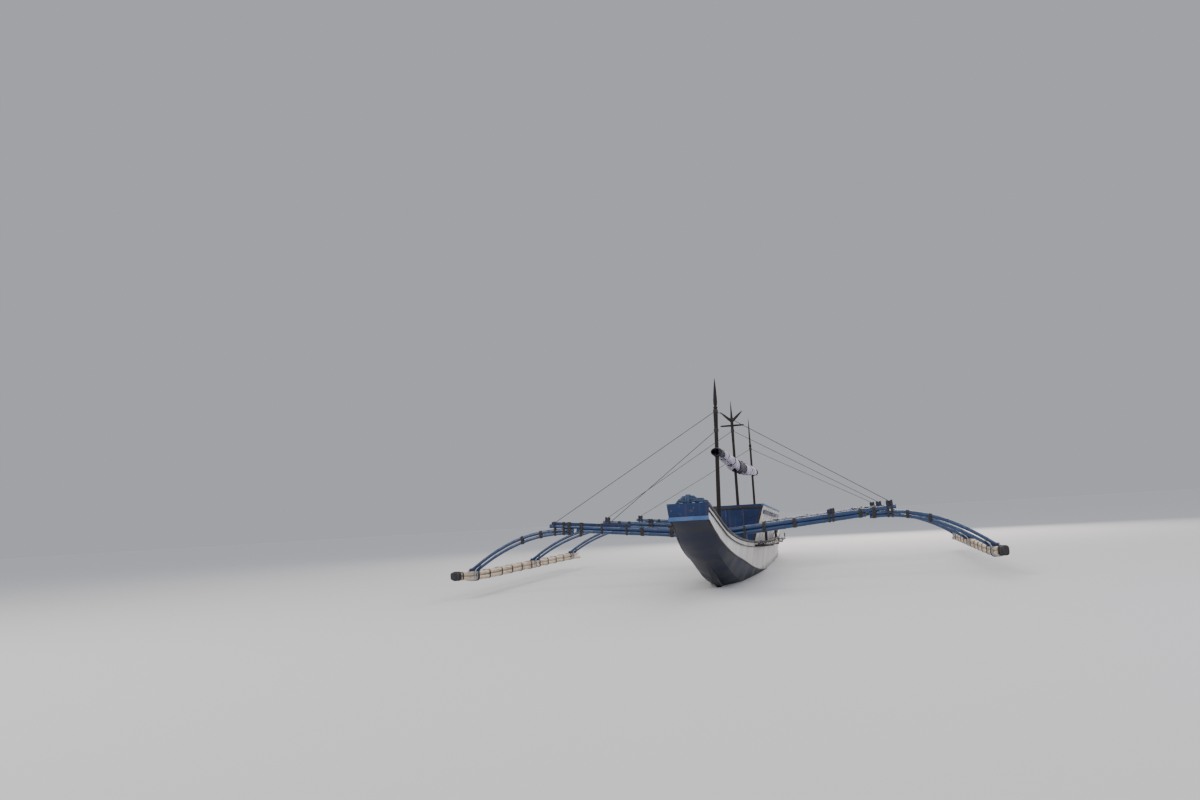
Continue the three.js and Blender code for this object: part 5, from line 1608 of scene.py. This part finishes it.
wide, thick = LEAF["width"], LEAF["thickness"]
leaf_top, leaf_face = LID["top"] + thick, LID["box_face"] - thick
pin_y, pin_z = LID["hinge_y"] - PIN["ahead"], LID["hinge_z"] - PIN["drop"]
lid_shape, box_shape = new_shape(), new_shape()
for x in LEAF["places"]:
    middle = Vector((x, LID["hinge_y"] + LEAF["on_lid"] / 2, LID["top"] + thick / 2))
    block(lid_shape, middle, (wide, LEAF["on_lid"], thick), edge=THIN_EDGE)
    height = (LID["hinge_z"] + LID["top"]) / 2 + BEND["raised"]
    bend = Vector((x, LID["hinge_y"] - thick / 2, height))
    block(lid_shape, bend, (wide, thick, BEND["height"]), edge=THIN_EDGE)
    for step in LID_RIVETS:
        rivet(lid_shape, Vector((x, LID["hinge_y"] + step, leaf_top)), UP)
    height = LID["hinge_z"] - LEAF["on_box"] / 2 - BOX_LEAF["drop"]
    low = Vector((x, LID["box_face"] - thick / 2 - BOX_LEAF["off_face"], height))
    block(box_shape, low, (wide, thick, LEAF["on_box"]), edge=THIN_EDGE)
    arm = Vector((x, (LID["hinge_y"] + LID["box_face"]) / 2 - PIN_ARM["ahead"], pin_z))
    size = (wide * PIN_ARM["width_share"], PIN_ARM["length"], PIN_ARM["thickness"])
    block(box_shape, arm, size, edge=THIN_EDGE)
    for drop in BOX_RIVETS:
        rivet(box_shape, Vector((x, leaf_face, LID["hinge_z"] - BOX_LEAF["drop"] - drop)), -NORTH)
    ends = [Vector((x + side * wide * PIN["half_share"], pin_y, pin_z)) for side in (-1, 1)]
    sweep(box_shape, ends, PIN["radius"], 12)
piece("lid_hinge_leaves", lid_shape, zinc, "engine_box_lid")
piece("box_hinge_leaves", box_shape, zinc)

half, bend, crown = HANDLE["half"], HANDLE["bend"], LID["top"] + HANDLE["height"]
cut = bend * HANDLE["cut"]
outline = [
    (half, LID["top"] - HANDLE["sunk"]), (half, crown - bend),
    (half - cut, crown - cut), (half - bend, crown),
]
rod = [Vector((-x, HANDLE["y"], z)) for x, z in outline]
rod += [Vector((x, HANDLE["y"], z)) for x, z in outline[::-1]]
shape = new_shape()
sweep(shape, rod, HANDLE["radius"], 10)
for side in (-1, 1):
    rivet(shape, Vector((side * half, HANDLE["y"], LID["top"])), UP, 0.014)
piece("lid_handle", shape, zinc, "engine_box_lid")

# %% [markdown]
# Rudder straps and bracket bolts
# Two bronze straps hold the rudder's blade to its stock, one plate on each side, riveted through, with wire
# round the stock. The bracket on the transom has three pairs of bolts.

# %% Stern hardware
STOCK_Y, BLADE_HALF = 8.000, 0.017
STRAP = {
    "length": 0.200, "width": 0.045, "thickness": 0.004, "start": 0.030, "heights": (-0.06, -0.47),
    "rivets": (0.06, 0.13, 0.20),
}
STOCK_WIRE = {"round": 0.026, "radius": 0.0045, "pitch": 0.006, "rows": range(-3, 4)}
BRACKET_BOLTS = {"half": 0.028, "y": 7.9446, "heights": (0.235, 0.37, 0.505), "radius": 0.010}

shape = new_shape()
for height in STRAP["heights"]:
    for side in (-1, 1):
        face = side * (BLADE_HALF + STRAP["thickness"] / 2)
        middle = Vector((face, STOCK_Y + STRAP["start"] + STRAP["length"] / 2, height))
        block(shape, middle, (STRAP["thickness"], STRAP["length"], STRAP["width"]), edge=THIN_EDGE)
        for step in STRAP["rivets"]:
            at_face = Vector((side * (BLADE_HALF + STRAP["thickness"]), STOCK_Y + step, height))
            rivet(shape, at_face, EAST * side, 0.007)
    around_stock = [
        Vector((cos(angle) * STOCK_WIRE["round"], STOCK_Y + sin(angle) * STOCK_WIRE["round"], height))
        for angle in evenly(0.5 * pi, 2 * pi, 12)
    ]
    for row in STOCK_WIRE["rows"]:
        lifted = [point + UP * row * STOCK_WIRE["pitch"] for point in around_stock]
        sweep(shape, lifted, STOCK_WIRE["radius"], 6)
piece("rudder_straps", shape, bronze, "rudder")

shape = new_shape()
for height in BRACKET_BOLTS["heights"]:
    for side in (-1, 1):
        head = Vector((side * BRACKET_BOLTS["half"], BRACKET_BOLTS["y"], height))
        rivet(shape, head, NORTH, BRACKET_BOLTS["radius"])
piece("bracket_bolts", shape, zinc)

# %% [markdown]
# Ties of the guard poles and bearers
# The guard poles lie on brackets and are tied to each of them. The booms are tied down on their bearers,
# with turns that go round both poles and through the bearer's foot.

# %% Ties along the gunwale
GUARD = {
    "poles": (0.091, 0.181), "radius": 0.020, "drop": 0.025, "stations": (-2.6, -0.5, 1.6, 3.6), "tie": 0.037,
}
BEARER_TIE = {"turns": 5, "up": 0.030}

shape = new_shape()
for side_name, side in SIDES:
    for y in GUARD["stations"]:
        edge = point_at(gunwale_top[side_name], y)
        for out in GUARD["poles"]:
            for step in (-GUARD["tie"], GUARD["tie"]):
                pole = Vector((edge.x + side * out, y + step, edge.z - GUARD["drop"]))
                lash(shape, [(pole, GUARD["radius"])], 4, count=16)
    for name, y in BOOM_Y.items():
        edge, span = bearer_place(y, side_name)
        foot = Vector((side * span, y, edge.z + BEARER_TIE["up"]))
        group = boom_group(name, side, span)
        group += [(foot + NORTH * toe * BEARER["width"] / 2, CORNER) for toe in (-1, 1)]
        lash(shape, group, BEARER_TIE["turns"], NORTH, boom_up(side), count=28)
piece("gunwale_ties", shape, dark_rope)

# %% Fastener heads
BOW_SCREWS = {"across": (-0.27, -0.16, -0.05, 0.05, 0.16, 0.27), "y": -7.963, "height": 1.274}
BATTEN_SCREWS = (0.72, 0.90, 1.08, 1.26)
EDGING_SCREWS = (0.70, 0.90, 1.10, 1.30)

shape = new_shape()
for x in BOW_SCREWS["across"]:
    rivet(shape, Vector((x, BOW_SCREWS["y"], BOW_SCREWS["height"])), -NORTH, 0.007)
places = [(x, height) for x in FRONT_BATTENS["places"] for height in BATTEN_SCREWS]
places += [
    (side * (house_beam(height) - EDGING / 2), height) for side in (-1, 1) for height in EDGING_SCREWS
]
for x, height in places:
    rivet(shape, Vector((x, PANEL_FACE - THICKNESS, height)), -NORTH)
piece("fastener_heads", shape, zinc)
